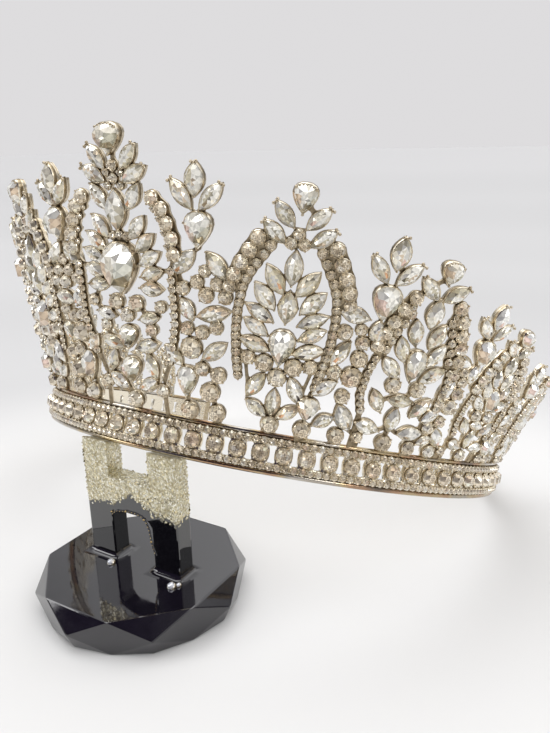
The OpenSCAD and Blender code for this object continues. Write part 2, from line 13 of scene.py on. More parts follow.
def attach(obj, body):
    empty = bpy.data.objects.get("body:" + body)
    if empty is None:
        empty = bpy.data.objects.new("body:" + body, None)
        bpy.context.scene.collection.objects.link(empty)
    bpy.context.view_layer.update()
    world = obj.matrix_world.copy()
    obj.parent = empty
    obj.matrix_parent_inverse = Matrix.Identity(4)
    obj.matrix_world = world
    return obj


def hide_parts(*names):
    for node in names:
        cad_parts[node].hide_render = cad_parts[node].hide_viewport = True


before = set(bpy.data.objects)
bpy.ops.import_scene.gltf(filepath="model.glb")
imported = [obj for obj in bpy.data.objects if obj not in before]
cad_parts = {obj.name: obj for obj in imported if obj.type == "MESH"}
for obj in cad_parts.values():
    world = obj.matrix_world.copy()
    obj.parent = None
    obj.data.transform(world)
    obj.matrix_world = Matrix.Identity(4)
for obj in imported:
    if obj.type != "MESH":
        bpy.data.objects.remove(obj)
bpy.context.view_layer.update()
MM = 0.001

# Sizes of the part, in mm and degrees
BAND_R = 74.4
BAND_H = 10.6
BAND_T = 1.4
REACH = 127.0
SLOT_N = 56
SLOT_STEP = 2 * (REACH - 1.7) / SLOT_N
FLARE = 23.6
CAST_T = 1.6
REST_H = 44.6
BASE_R = 29.0
POST_D = 5.5
STAND_X = -1.0
SEAT = 0.1
RISE = 0.5
TABLE = 0.55
HEIGHTS = {
    "centre": 69.5,
    "arch_1": 60.0, "arch_2": 50.3, "arch_3": 39.5, "arch_4": 30.0, "arch_5": 21.0,
    "fleur_1": 62.0, "fleur_2": 53.5, "fleur_3": 44.0, "fleur_4": 35.0, "fleur_5": 26.0,
}
AZIMUTHS = {
    "centre": 0.0,
    "arch_1": 27.6, "arch_2": 49.9, "arch_3": 70.3, "arch_4": 91.0, "arch_5": 110.0,
    "fleur_1": 14.1, "fleur_2": 41.7, "fleur_3": 62.0, "fleur_4": 82.5, "fleur_5": 101.5,
}
# Name, side and key of each motif
MOTIFS = [("centre", 1, "centre")]
for level in (1, 2, 3, 4, 5):
    for motif in ("fleur_" + str(level), "arch_" + str(level)):
        MOTIFS += [(motif, 1, motif + "_right"), (motif, -1, motif + "_left")]

# The crown's lean: the front of the band on the fork, its ends on the table
END_SHARE = -cos(radians(REACH))
TILT = asin(REST_H / (BAND_R * (1 + END_SHARE)))
LIFT = BAND_R * END_SHARE * sin(TILT) + BAND_H / 2 * cos(TILT)
FRONT_Y = -BAND_R * cos(TILT) - BAND_H / 2 * sin(TILT)
STAND_Y = FRONT_Y + 1.1 * BAND_T + 0.1


def tip_y(name):
    out = BAND_R + HEIGHTS[name] * sin(radians(FLARE))
    up = BAND_H / 2 + HEIGHTS[name] * cos(radians(FLARE))
    return -cos(radians(AZIMUTHS[name])) * out * cos(TILT) + up * sin(TILT)


BACK_Y = max(
    tip_y("arch_4"), tip_y("arch_5"), tip_y("fleur_5"),
    BAND_R * END_SHARE * cos(TILT) + BAND_H / 2 * sin(TILT),
)
SHIFT_Y = (BASE_R - STAND_Y - BACK_Y) / 2
REST = Matrix.Translation((0, SHIFT_Y, LIFT)) @ Matrix.Rotation(-TILT, 4, "X")
AS_IT_IS = Matrix.Identity(4)


def turned(deg, axis):
    return Matrix.Rotation(radians(deg), 4, axis)


def motif_matrix(name, side):
    mirror = Matrix.Diagonal((side, 1, 1, 1))
    out = Matrix.Translation((0, -BAND_R, BAND_H / 2))
    return REST @ (mirror @ (turned(AZIMUTHS[name], "Z") @ out @ turned(90 + FLARE, "X")))


def band_matrix(deg):
    # x along the band, y up, z out of the crown, on the outer face of the wall
    return REST @ turned(deg, "Z") @ Matrix.Translation((0, -BAND_R, 0)) @ turned(90, "X")


# Nodes of materials and of the world
def feed(node, values):
    # Sets the inputs of a node, or links them where the value is another node's socket
    for key, value in values.items():
        if isinstance(value, bpy.types.NodeSocket):
            node.id_data.links.new(value, node.inputs[key])
        else:
            node.inputs[key].default_value = value


def add(near, kind, values, **settings):
    # A new node in the tree of another one
    node = near.id_data.nodes.new("ShaderNode" + kind)
    for key, value in settings.items():
        setattr(node, key, value)
    feed(node, values)
    return node


def coords_of(near, kind="Object"):
    return add(near, "TexCoord", {}).outputs[kind]


def noise_of(near, scale, detail=2.0, kind="Object"):
    values = {"Vector": coords_of(near, kind), "Scale": scale, "Detail": detail}
    return add(near, "TexNoise", values).outputs["Fac"]


def span_of(near, value, low, high, start=0.3, end=0.7, **settings):
    # Spreads what lies between start and end over low to high
    values = {"Value": value, "From Min": start, "From Max": end, "To Min": low, "To Max": high}
    return add(near, "MapRange", values, **settings).outputs["Result"]


def maths(near, operation, *values, **settings):
    node = add(near, "Math", dict(enumerate(values)), operation=operation, **settings)
    return node.outputs["Value"]


def blend_of(near, a, b, factor=1.0, kind="MULTIPLY"):
    node = add(near, "Mix", {}, data_type="RGBA", blend_type=kind)
    feed(node, {"Factor": factor, "A": a, "B": b})
    return node.outputs["Result"]


def ramp_of(near, value, stops, interpolation="LINEAR"):
    # A colour ramp: each stop is a place and a colour
    node = add(near, "ValToRGB", {"Fac": value})
    line = node.color_ramp
    line.interpolation = interpolation
    for stop, (place, colour) in zip(line.elements, (stops[0], stops[-1])):
        stop.position = place
        stop.color = (*colour, 1)
    for place, colour in stops[1:-1]:
        line.elements.new(place).color = (*colour, 1)
    return node.outputs["Color"]


def attribute_of(near, name, output):
    return add(near, "Attribute", {}, attribute_name=name).outputs[output]


def tint_of(near, scale, low, high):
    # The tone of each facet, a little clouded
    clouds = span_of(near, noise_of(near, scale), low, high)
    return blend_of(near, attribute_of(near, "tint", "Color"), clouds)


def add_bump(shader, height, strength, distance):
    values = {"Strength": strength, "Distance": distance, "Height": height}
    feed(shader, {"Normal": add(shader, "Bump", values).outputs["Normal"]})


def new_material(name, paint, *settings):
    mat = bpy.data.materials.new(name)
    mat.use_nodes = True
    paint(mat.node_tree.nodes["Principled BSDF"], *settings)
    return mat


# Materials
def paint_silver(shader):
    # The shine attribute is 1 on polished lips and 0 in the crevices between them: the dark brown in the
    # crevices is painted shade and the pale cream on the lips a painted highlight, while the roughness
    # follows the polish
    clouds = span_of(shader, noise_of(shader, 900.0, 3.0), -0.12, 0.12)
    total = maths(shader, "ADD", attribute_of(shader, "shine", "Fac"), clouds, use_clamp=True)
    stops = [(0.05, (0.11, 0.085, 0.050)), (0.4, (0.48, 0.39, 0.26)), (0.85, (0.88, 0.81, 0.67))]
    feed(shader, {
        "Base Color": ramp_of(shader, total, stops), "Metallic": 1.0,
        "Roughness": span_of(shader, total, 0.46, 0.15, 0.0, 1.0),
    })
    add_bump(shader, noise_of(shader, 1600.0), 0.25, 0.0002)


def paint_rim(shader):
    # Polished wire with painted reflections: copper, gold and dark patches in its colour stand for what it
    # mirrors from its surroundings
    stops = [
        (0.0, (0.16, 0.14, 0.12)), (0.3, (0.42, 0.27, 0.17)), (0.5, (0.50, 0.40, 0.24)),
        (0.72, (0.40, 0.36, 0.30)), (1.0, (0.66, 0.62, 0.56)),
    ]
    patches = span_of(shader, noise_of(shader, 75.0), 0.0, 1.0)
    feed(shader, {"Base Color": ramp_of(shader, patches, stops), "Metallic": 1.0, "Roughness": 0.2})
    add_bump(shader, noise_of(shader, 1400.0), 0.2, 0.0002)


def paint_stone(shader, metallic, roughness):
    # Each facet keeps its own tone, painted reflections and highlights that stand for what a cut stone and
    # the foil behind it mirror
    tone = tint_of(shader, 700.0, 0.82, 1.06)
    # The faint emission in the facet tone is a painted glow, though the stones are no lamp
    feed(shader, {
        "Base Color": tone, "Emission Color": tone, "Emission Strength": 0.11,
        "Metallic": metallic, "Roughness": roughness, "IOR": 1.6,
        "Coat Weight": 1.0, "Coat Roughness": 0.02,
    })


def paint_black(shader):
    clouds = noise_of(shader, 260.0, 5.0)
    stops = [(0.0, (0.0030, 0.0024, 0.0042)), (1.0, (0.0085, 0.0070, 0.0125))]
    feed(shader, {
        "Base Color": ramp_of(shader, clouds, stops),
        "Roughness": span_of(shader, clouds, 0.02, 0.09), "IOR": 1.8,
    })
    add_bump(shader, clouds, 0.05, 0.0003)


def paint_glitter(shader):
    # Flakes of pale gold and silver over the top of the stand, with a ragged lower edge
    cells = add(shader, "TexVoronoi", {"Vector": coords_of(shader), "Scale": 2100.0})
    split = add(shader, "SeparateColor", {"Color": cells.outputs["Color"]})
    place = add(shader, "SeparateXYZ", {"Vector": coords_of(shader)})
    stops = [
        (0.0, (0.40, 0.34, 0.20)), (0.2, (0.54, 0.48, 0.31)), (0.45, (0.64, 0.59, 0.42)),
        (0.65, (0.50, 0.46, 0.34)), (0.85, (0.90, 0.87, 0.74)),
    ]
    tone = ramp_of(shader, split.outputs["Red"], stops, "CONSTANT")
    edge = maths(shader, "MULTIPLY_ADD", noise_of(shader, 330.0, 5.0), 0.007, place.outputs["Z"])
    across = maths(shader, "MULTIPLY_ADD", place.outputs["X"], 200.0, 0.16)
    square = maths(shader, "POWER", maths(shader, "ABSOLUTE", across), 2.0)
    hump = maths(shader, "EXPONENT", maths(shader, "MULTIPLY", square, -1.0))
    lowered = maths(shader, "MULTIPLY_ADD", hump, -0.0044, edge)
    mask = span_of(shader, lowered, 0.0, 1.0, 0.0298, 0.0306)
    feed(shader, {
        "Base Color": blend_of(shader, (0.004, 0.004, 0.005, 1), tone, mask, "MIX"),
        "Metallic": maths(shader, "MULTIPLY", mask, 0.8),
        "Roughness": span_of(shader, mask, 0.04, 0.40, 0.0, 1.0), "IOR": 1.95,
    })
    add_bump(shader, maths(shader, "MULTIPLY", split.outputs["Green"], mask), 0.7, 0.0002)


def paint_gold(shader):
    clouds = noise_of(shader, 1500.0)
    stops = [(0.0, (0.62, 0.42, 0.16)), (1.0, (0.90, 0.70, 0.36))]
    feed(shader, {
        "Base Color": ramp_of(shader, clouds, stops),
        "Roughness": span_of(shader, clouds, 0.18, 0.34), "Metallic": 1.0,
    })


def paint_flake(shader):
    tone = tint_of(shader, 1200.0, 0.75, 1.1)
    feed(shader, {"Base Color": tone, "Metallic": 0.9, "Roughness": 0.16})


RIM = new_material("rim_plate", paint_rim)
SILVER = new_material("silver_plate", paint_silver)
CLEAR = new_material("clear_cut_stone", paint_stone, 0.55, 0.06)
CHAMPAGNE = new_material("champagne_cut_stone", paint_stone, 0.65, 0.08)
BLACK = new_material("black_gloss", paint_black)
GLITTER = new_material("glitter_coat", paint_glitter)
GOLD = new_material("gold_thread", paint_gold)
FLAKES = new_material("glitter_flakes", paint_flake)


# Pieces and their meshes: points, faces, and a shine for each point or a tint for each face
def put_piece(name, mesh, nodes):
    obj = bpy.data.objects.new(name, mesh)
    bpy.context.scene.collection.objects.link(obj)
    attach(obj, "root")
    if nodes:
        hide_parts(*nodes)


class Bag:
    # Collects meshes in mm and makes one piece of them
    def __init__(self, kind=""):
        self.kind = kind
        self.verts = []
        self.faces = []
        self.values = []
        self.smooth = []

    def add(self, mesh, matrix, side=1, smooth=False):
        verts, faces, values = mesh
        start = len(self.verts)
        self.verts.extend(matrix @ Vector(v) for v in verts)
        for face in faces:
            ids = [start + i for i in face]
            self.faces.append(ids if side > 0 else ids[::-1])
        self.values.extend(values)
        self.smooth.extend([smooth] * len(faces))

    def paint(self, mesh, domain, colours):
        layer = mesh.color_attributes.new(self.kind, "FLOAT_COLOR", domain)
        layer.data.foreach_set("color", [v for colour in colours for v in (*colour, 1.0)])

    def make(self, name, material, slot, nodes=()):
        mesh = bpy.data.meshes.new(name)
        mesh.from_pydata([v * MM for v in self.verts], [], self.faces)
        if self.kind == "tint":
            self.paint(mesh, "CORNER", [t for face, t in zip(self.faces, self.values) for _ in face])
        if self.kind == "shine":
            self.paint(mesh, "POINT", [(s, s, s) for s in self.values])
        mesh.polygons.foreach_set("use_smooth", self.smooth)
        mesh.materials.append(material)
        mesh.update()
        if any(self.smooth):
            mesh.set_sharp_from_angle(angle=radians(50))
        put_piece(name, mesh, nodes)


# Orders of a face's corners: 0 and 1 lie in one ring, 2 and 3 above them in the next
OUTWARDS = (0, 1, 3, 2)
INWARDS = (1, 0, 2, 3)
DOWNWARDS = (0, 2, 3, 1)


def strips(n, count, start=0, order=OUTWARDS):
    # Faces between closed rings of n points that follow one another
    faces = []
    for low in range(start, start + (count - 1) * n, n):
        for i in range(n):
            corners = (low + i, low + (i + 1) % n, low + n + i, low + n + (i + 1) % n)
            faces.append([corners[k] for k in order])
    return faces


def stacked(outline, levels):
    # Rings at given distances out from an outline, each with its height and shine
    verts = [(x, y, z) for out, z, _ in levels for x, y in offset(outline, out)]
    return verts, [s for _, _, s in levels for _ in outline]


BALL_RINGS = 4
BALL_SIDES = 6


def ball_mesh(x, y, z, r, shine=1.0):
    verts = [(x, y, z + r)]
    for ring in range(1, BALL_RINGS):
        polar = pi * ring / BALL_RINGS
        flat_r = r * sin(polar)
        for k in range(BALL_SIDES):
            turn = 2 * pi * (k + 0.5 * (ring % 2)) / BALL_SIDES
            verts.append((x + flat_r * cos(turn), y + flat_r * sin(turn), z + r * cos(polar)))
    verts.append((x, y, z - r))
    last = len(verts) - 1
    low = last - BALL_SIDES
    faces = [[0, 1 + k, 1 + (k + 1) % BALL_SIDES] for k in range(BALL_SIDES)]
    faces += strips(BALL_SIDES, BALL_RINGS - 1, 1, DOWNWARDS)
    faces += [[last, low + (k + 1) % BALL_SIDES, low + k] for k in range(BALL_SIDES)]
    return verts, faces, [shine] * len(verts)


# Outlines of the cuts, in mm; the pear is given in shares of its width and length
PEAR_HALF = [
    (0.0, -0.5), (0.13, -0.385), (0.25, -0.27), (0.36, -0.14), (0.45, 0.01),
    (0.5, 0.17), (0.465, 0.31), (0.355, 0.42), (0.19, 0.485), (0.0, 0.5),
]
NAVETTE_N = 16


def navette(length, width):
    half = NAVETTE_N // 2
    points = []
    for i in range(NAVETTE_N):
        s = -1 + 2 * i / half if i <= half else 1 - 2 * (i - half) / half
        x = width / 2 * (1 - s * s)
        points.append((x if i <= half else -x, s * length / 2))
    return points


def pear(length, width):
    left = [(-x, y) for x, y in PEAR_HALF[-2:0:-1]]
    return [(x * width, y * length) for x, y in PEAR_HALF + left]


def circle(d, n):
    turns = [2 * pi * i / n for i in range(n)]
    return [(d / 2 * cos(a), d / 2 * sin(a)) for a in turns]


def offset(points, out):
    # Moves an outline that runs anticlockwise outwards
    moved = []
    for i, (bx, by) in enumerate(points):
        ax, ay = points[i - 1]
        cx, cy = points[(i + 1) % len(points)]
        before = hypot(bx - ax, by - ay) or 1e-9
        after = hypot(cx - bx, cy - by) or 1e-9
        nx = (by - ay) / before + (cy - by) / after
        ny = -(bx - ax) / before - (cx - bx) / after
        size = hypot(nx, ny) or 1e-9
        cosine = max(size / 2, 0.62)
        moved.append((bx + nx / size * out / cosine, by + ny / size * out / cosine))
    return moved


@dataclass
class Stone:
    # A stone of a motif; deep is the width that its height follows
    kind: str
    x: float
    y: float
    turn: float
    length: float
    width: float
    node: str = None

    def __post_init__(self):
        self.deep = self.width

    def local(self):
        if self.kind == "navette":
            return navette(self.length, self.width)
        if self.kind == "pear":
            return pear(self.length, self.width)
        return circle(self.width, 8 if self.width < 2.2 else 12 if self.width < 3.1 else 16)

    def ring(self):
        c = cos(radians(-self.turn))
        s = sin(radians(-self.turn))
        return np.array([(self.x + c * x - s * y, self.y + s * x + c * y) for x, y in self.local()])

    def place(self):
        return Matrix.Translation((self.x, self.y, 0)) @ turned(-self.turn, "Z")

    def scaled(self, factor):
        copy = Stone(self.kind, self.x * factor, self.y * factor, self.turn,
                     self.length * factor, self.width * factor)
        copy.deep = self.deep * factor
        return copy


def small_round(x, y, d):
    return Stone("round", x, y, 0, d, d)


def gap_between(a, b):
    return hypot(a.x - b.x, a.y - b.y)


def top_of(parent, i):
    while parent[i] != i:
        i = parent[i]
    return i


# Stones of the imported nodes, read in the coordinates of their motif
def loose_parts(name, matrix):
    mesh = bpy.data.objects[name].data
    back = matrix.inverted()
    keys = {}
    welded = []
    points = []
    for v in mesh.vertices:
        p = back @ (v.co / MM)
        key = tuple(round(c, 2) for c in p)
        if key not in keys:
            keys[key] = len(points)
            points.append(p)
        welded.append(keys[key])
    parent = list(range(len(points)))
    for poly in mesh.polygons:
        first = welded[poly.vertices[0]]
        for i in poly.vertices[1:]:
            parent[top_of(parent, welded[i])] = top_of(parent, first)
    groups = {}
    for i, p in enumerate(points):
        groups.setdefault(top_of(parent, i), []).append(p)
    return groups.values()


def stone_from(group, name):
    # The underside gives a stone's cut, place, turn and size
    base = [p for p in group if p.z < SEAT + 0.12]
    xs = [p.x for p in base]
    ys = [p.y for p in base]
    if name.endswith("_pear"):
        return Stone("pear", (min(xs) + max(xs)) / 2, (min(ys) + max(ys)) / 2, 0,
                     max(ys) - min(ys), max(xs) - min(xs), name)
    a, b = max(((p, q) for p in base for q in base), key=lambda pair: (pair[0] - pair[1]).length)
    length = hypot(a.x - b.x, a.y - b.y)
    if len(base) >= 10:
        return Stone("round", sum(xs) / len(xs), sum(ys) / len(ys), 0, length, length, name)
    mx = (a.x + b.x) / 2
    my = (a.y + b.y) / 2
    sign = -1 if b.y < a.y else 1
    ax = sign * (b.x - a.x) / length
    ay = sign * (b.y - a.y) / length
    width = 2 * max(abs((p.x - mx) * ay - (p.y - my) * ax) for p in base)
    return Stone("navette", mx, my, degrees(atan2(ax, ay)), length, width, name)


def node_stones(name, matrix):
    found = [stone_from(group, name) for group in loose_parts(name, matrix)]
    found.sort(key=lambda s: (round(s.y, 1), round(s.x, 1)))
    return found


def polygon_distance(polygon, points):
    # Signed distance to a closed outline, negative inside
    b = np.roll(polygon, -1, axis=0)
    e = b - polygon
    w = points[:, None, :] - polygon[None, :, :]
    t = np.clip((w * e).sum(2) / np.maximum((e * e).sum(1), 1e-12), 0, 1)
    d = w - e[None] * t[:, :, None]
    distance = np.sqrt((d * d).sum(2)).min(1)
    ya = polygon[None, :, 1] <= points[:, None, 1]
    yb = b[None, :, 1] <= points[:, None, 1]
    cross = e[None, :, 0] * w[:, :, 1] - e[None, :, 1] * w[:, :, 0]
    wind = np.where(ya & ~yb & (cross > 0), 1, 0) - np.where(~ya & yb & (cross < 0), 1, 0)
    return np.where(wind.sum(1) != 0, -distance, distance)


# How far a rim may reach past the solid of its stone
ROOM = {"navette": 0.32, "round": 0.12, "pear": 0.05}
NEIGHBOURS = 14


def widen(stones):
    # A stone's rim reaches a little past its solid where the gap to its neighbours allows it
    rings = [s.ring() for s in stones]
    rooms = []
    for s, ring in zip(stones, rings):
        gap = 2 * ROOM["navette"]
        for t, other in zip(stones, rings):
            if s is not t and gap_between(s, t) <= NEIGHBOURS:
                gap = min(gap, float(polygon_distance(other, ring).min()),
                          float(polygon_distance(ring, other).min()))
        rooms.append(max(0.0, min(ROOM[s.kind], gap / 2 - 0.04)))
    for s, room in zip(stones, rooms):
        s.length += 2 * room * min(s.length / s.width, 1.6)
        s.width += 2 * room


stones_of = {}
for motif, side, key in MOTIFS:
    stones_of[key] = []
    for node in sorted(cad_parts):
        if node.startswith(key + "_"):
            stones_of[key].extend(node_stones(node, motif_matrix(motif, side)))
    widen(stones_of[key])

# Stones that only the scene has: x, y and diameter, or the x and y of a row
# The first arches and the centre in mm, the right half
ARCH_SMALL = [
    (1.5, 46.9, 2.6),
    (8.9, 47.0, 3.4), (10.5, 43.9, 3.4), (12.0, 40.8, 3.4), (13.2, 37.7, 3.3), (13.9, 34.8, 2.8),
    (5.9, 45.7, 2.3), (7.2, 43.5, 2.1), (8.5, 41.3, 2.1), (9.6, 39.3, 2.1), (10.4, 37.3, 2.1),
    (7.4, 18.6, 3.3),
]
ARCH_MIDDLE = [(0, 49.0, 2.5)]
ARCH_ROW = [(10.9, 35.3), (11.4, 30.0), (11.1, 24.0), (10.2, 18.0), (9.0, 12.3)]
CENTRE_SMALL = [
    (11.0, 53.0, 3.5), (13.4, 50.6, 3.5), (14.7, 47.4, 3.5), (15.8, 44.0, 3.5), (16.0, 40.4, 3.5),
    (2.1, 43.9, 2.0), (6.6, 49.6, 3.4), (10.7, 27.5, 2.9), (7.3, 21.4, 3.0),
    (9.2, 6.0, 3.4), (9.4, 12.25, 3.4), (2.2, 58.6, 1.7), (2.0, 55.6, 1.8),
]
CENTRE_MIDDLE = [(0, 44.2, 2.0), (0, 24.6, 3.6), (0, 60.2, 2.6), (0, 57.3, 2.3)]
CENTRE_ROW = [(13.4, 44.6), (14.3, 40.0), (14.7, 36.0), (14.7, 24.0), (13.6, 19.0), (11.8, 13.6)]
# The other arches, as on the second one in mm
LOW_ARCH_SMALL = [
    (6.2, 40.0, 3.3), (8.1, 36.8, 3.3), (9.4, 33.4, 3.3), (10.4, 30.3, 3.3), (11.2, 27.0, 3.3),
    (4.6, 38.3, 2.0), (5.6, 36.0, 2.0), (6.6, 33.6, 2.0), (7.5, 31.2, 2.0), (8.2, 28.8, 2.0),
    (8.7, 26.4, 2.0),
]
LOW_ARCH_ROW = [(10.3, 23.6), (11.0, 20.0), (10.9, 14.0), (9.0, 9.2)]
# The fleurs in hundredths of their height, as on the right
FLEUR_SMALL = [
    (0, 84.4, 3.1), (1.6, 60.8, 4.5), (-1.8, 56.3, 5.1), (6.3, 56.4, 5.1), (-7.7, 53.2, 5.4),
    (1.9, 51.6, 5.8), (9.7, 51.9, 5.4), (6.4, 39.4, 5.1), (0.6, 36.8, 5.3), (-5.6, 37.6, 5.1),
    (7.7, 20.2, 6.2), (0.8, 21.9, 5.6), (4.4, 12.6, 7.9),
]
LOW_FLEUR_SMALL = [
    (-13.6, 53.6, 6.7), (-6.7, 56.1, 5.2), (-4.5, 50.3, 6.0), (-3.9, 42.8, 7.5),
    (-13.3, 34.6, 6.4), (-5.0, 33.8, 9.2), (-6.2, 23.7, 6.7), (-13.3, 19.1, 7.5), (6.2, 4.9, 5.4),
]
# The right one of the first fleurs is bent above this share of its height
BEND = 0.09
BEND_FROM = 56
FILLER_D = 1.3
# The widest fleurs are a little smaller, so that no stone stands past the solids
FLEUR_4_FIT = 0.93


def along(points, pitch):
    # Even steps along a line of points
    places = []
    left = 0.0
    for a, b in zip(points, points[1:]):
        span = hypot(b[0] - a[0], b[1] - a[1])
        while left <= span:
            t = left / span
            places.append((a[0] + (b[0] - a[0]) * t, a[1] + (b[1] - a[1]) * t))
            left += pitch
        left -= span
    return places


def arch_stones(pairs, middle, row, row_d, pitch, factor):
    # Rounds in pairs, single ones in the middle, and the rows of the legs
    found = [small_round(sign * x * factor, y * factor, d * factor)
             for x, y, d in pairs for sign in (1, -1)]
    found += [small_round(x * factor, y * factor, d * factor) for x, y, d in middle]
    for x, y in along([(x * factor, y * factor) for x, y in row], max(pitch * factor, 1.5)):
        for sign in (1, -1):
            found.append(small_round(sign * x, y, max(row_d * factor, 1.35)))
    return found


def keep_clear(new, old, share=0.82):
    # Leaves out small stones that would lie in a stone that is there already
    kept = []
    outlines = [s.ring() for s in old]
    for s in new:
        centre = np.array([[s.x, s.y]])
        near = [line for other, line in zip(old, outlines)
                if gap_between(s, other) <= s.width / 2 + other.length / 2 + 1]
        if all(polygon_distance(line, centre)[0] >= s.width / 2 * share for line in near):
            kept.append(s)
            old.append(s)
            outlines.append(s.ring())
    return kept


def fillers(rounds):
    # Tiny stones in the corners between the two rows of an arch
    found = []
    for i, a in enumerate(rounds):
        for b in rounds[i + 1:]:
            apart = gap_between(a, b)
            if min(a.width, b.width) < 2.4 or apart > 4.6:
                continue
            mx = (a.x + b.x) / 2
            my = (a.y + b.y) / 2
            for reach in (1.5, 1.75, 2.0, -1.5, -1.75, -2.0):
                x = mx - (b.y - a.y) / apart * reach
                y = my + (b.x - a.x) / apart * reach
                if abs(x) < abs(mx) and (a.x > 0) == (b.x > 0):
                    found.append(small_round(x, y, FILLER_D))
    return found


def copied_stones(motif, key, fit):
    # The last motifs repeat stones of the third ones
    if motif[-1] not in "45":
        return []
    source = motif[:-1] + "3"
    factor = HEIGHTS[motif] / HEIGHTS[source] * fit
    found = [s.scaled(factor) for s in stones_of[key.replace(motif, source)]]
    if motif.startswith("fleur"):
        return [s for s in found if s.kind != "pear"]
    return [s for s in found if s.kind == "round" or motif == "arch_5"]


def small_stones(motif, side, fit):
    height = HEIGHTS[motif]
    if motif == "centre":
        return arch_stones(CENTRE_SMALL, CENTRE_MIDDLE, CENTRE_ROW, 1.95, 2.08, 1.0)
    if motif == "arch_1":
        return arch_stones(ARCH_SMALL, ARCH_MIDDLE, ARCH_ROW, 1.85, 2.0, 1.0)
    if motif.startswith("arch"):
        return arch_stones(LOW_ARCH_SMALL, [], LOW_ARCH_ROW, 1.85, 2.0, height / HEIGHTS["arch_2"])
    rows = LOW_FLEUR_SMALL
    if motif == "fleur_1":
        bend = BEND if side > 0 else 0.0
        rows = [(x - bend * max(0, y - BEND_FROM), y, d) for x, y, d in FLEUR_SMALL]
    share = height / 100 * fit
    return [small_round(x * share, y * share, d * share) for x, y, d in rows]


small_of = {}
for motif, side, key in MOTIFS:
    fit = FLEUR_4_FIT if motif == "fleur_4" else 1.0
    extra = copied_stones(motif, key, fit)
    present = stones_of[key] + extra
    small_of[key] = extra + keep_clear(small_stones(motif, side, fit), present)
    if not motif.startswith("fleur"):
        small_of[key] += keep_clear(fillers(small_of[key]), present, 1.02)


# Cut stones: tones with their weights; apart from the champagne colour of the small stones, they are
# painted reflections, highlights and shade of the facets
STRIPES = [
    ((0.98, 0.96, 0.90), 44), ((0.92, 0.87, 0.75), 17), ((0.72, 0.66, 0.50), 15),
    ((0.50, 0.46, 0.36), 9), ((0.80, 0.66, 0.50), 6), ((0.70, 0.69, 0.66), 9),
]
SPOTS = [
    ((0.95, 0.93, 0.86), 20), ((0.48, 0.37, 0.23), 22), ((0.36, 0.32, 0.22), 18),
    ((0.78, 0.43, 0.22), 12), ((0.10, 0.08, 0.06), 10), ((0.86, 0.62, 0.52), 8),
]
WARM_TONES = [
    ((0.80, 0.69, 0.53), 30), ((0.60, 0.49, 0.35), 20), ((0.92, 0.84, 0.69), 24),
    ((0.97, 0.94, 0.88), 12), ((0.28, 0.22, 0.14), 8), ((0.72, 0.51, 0.37), 5),
]
# Outer facets, star and middle of a round stone: a painted highlight outside and painted shade in the
# middle
ROUND_RINGS = [(0.92, 0.84, 0.70), (0.74, 0.63, 0.47), (0.40, 0.31, 0.20)]
# Patches of a pear, painted reflections and highlights: across and along it, and the tones that each may
# have
PEAR_PATCHES = [
    (-0.3, 0.6, [((0.98, 0.97, 0.93), 8), ((0.86, 0.80, 0.68), 2)]),
    (0.4, 0.5, [((0.98, 0.96, 0.90), 6), ((0.80, 0.76, 0.66), 4)]),
    (0.0, 0.15, [((0.94, 0.92, 0.86), 6), ((0.74, 0.70, 0.60), 4)]),
    (-0.55, -0.05, [((0.86, 0.66, 0.58), 4), ((0.78, 0.62, 0.46), 4), ((0.96, 0.94, 0.88), 2)]),
    (-0.15, -0.3, [((0.80, 0.66, 0.54), 4), ((0.60, 0.46, 0.32), 3), ((0.90, 0.86, 0.78), 3)]),
    (0.5, -0.05, [((0.60, 0.58, 0.46), 5), ((0.74, 0.74, 0.66), 5)]),
    (0.22, -0.38, [((0.16, 0.14, 0.10), 4), ((0.42, 0.36, 0.24), 6)]),
    (0.0, -0.8, [((0.95, 0.93, 0.86), 7), ((0.66, 0.60, 0.46), 3)]),
]
# Painted light: the stones of the front are made a little warmer and darker than those of the sides and of
# the band, which are made paler, and the metal of the side motifs gets more shine
FRONT_GAIN = (0.980, 0.970, 0.942)
SIDE_GAIN = (1.080, 1.085, 1.090)
BAND_GAIN = (1.080, 1.070, 1.060)
EVEN = (1.0, 1.0, 1.0)
SIDE_SHINE = 0.12


def pick(rng, tones):
    r = rng.random() * sum(weight for _, weight in tones)
    for tone, weight in tones:
        r -= weight
        if r <= 0:
            return tone
    return tones[-1][0]


def times(tone, gains):
    return tuple(min(1.0, c * g) for c, g in zip(tone, gains))


def mixed(a, b, share):
    return tuple((1 - share) * u + share * v for u, v in zip(a, b))


def stripes_of(rng):
    # Painted reflections: long stripes along a navette and a patch on one side near its lower tip
    stripes = {}
    for side in (1, -1):
        for ring in (0, 1, 2):
            upper = pick(rng, STRIPES)
            stripes[(side, ring, True)] = upper
            stripes[(side, ring, False)] = upper if rng.random() < 0.6 else pick(rng, STRIPES)
    return stripes, 1 if rng.random() < 0.5 else -1, pick(rng, SPOTS)


def zones_of(rng, stone):
    # Painted reflections: a few patches of one tone each across the facets
    if stone.kind == "pear":
        return [(x, y, pick(rng, tones)) for x, y, tones in PEAR_PATCHES]
    count = 3 if stone.width < 2.4 else 5
    return [(2 * rng.random() - 1, 2 * rng.random() - 1, pick(rng, WARM_TONES)) for _ in range(count)]


def zone_tone(rng, zones, stone, x, y, ring):
    u = 2 * x / stone.width
    v = 2 * y / stone.length
    if stone.kind == "navette":
        stripes, spot_side, spot = zones
        side = 1 if u > 0 else -1
        tone = spot if ring > 0 and side == spot_side and v < -0.18 else stripes[(side, ring, v > 0)]
    else:
        tone = min(zones, key=lambda z: (z[0] - u) ** 2 + (z[1] - v) ** 2)[2]
    if stone.kind == "round":
        tone = mixed(tone, ROUND_RINGS[ring], 0.5)
    return times(tone, (0.79 + 0.14 * rng.random(),) * 3)


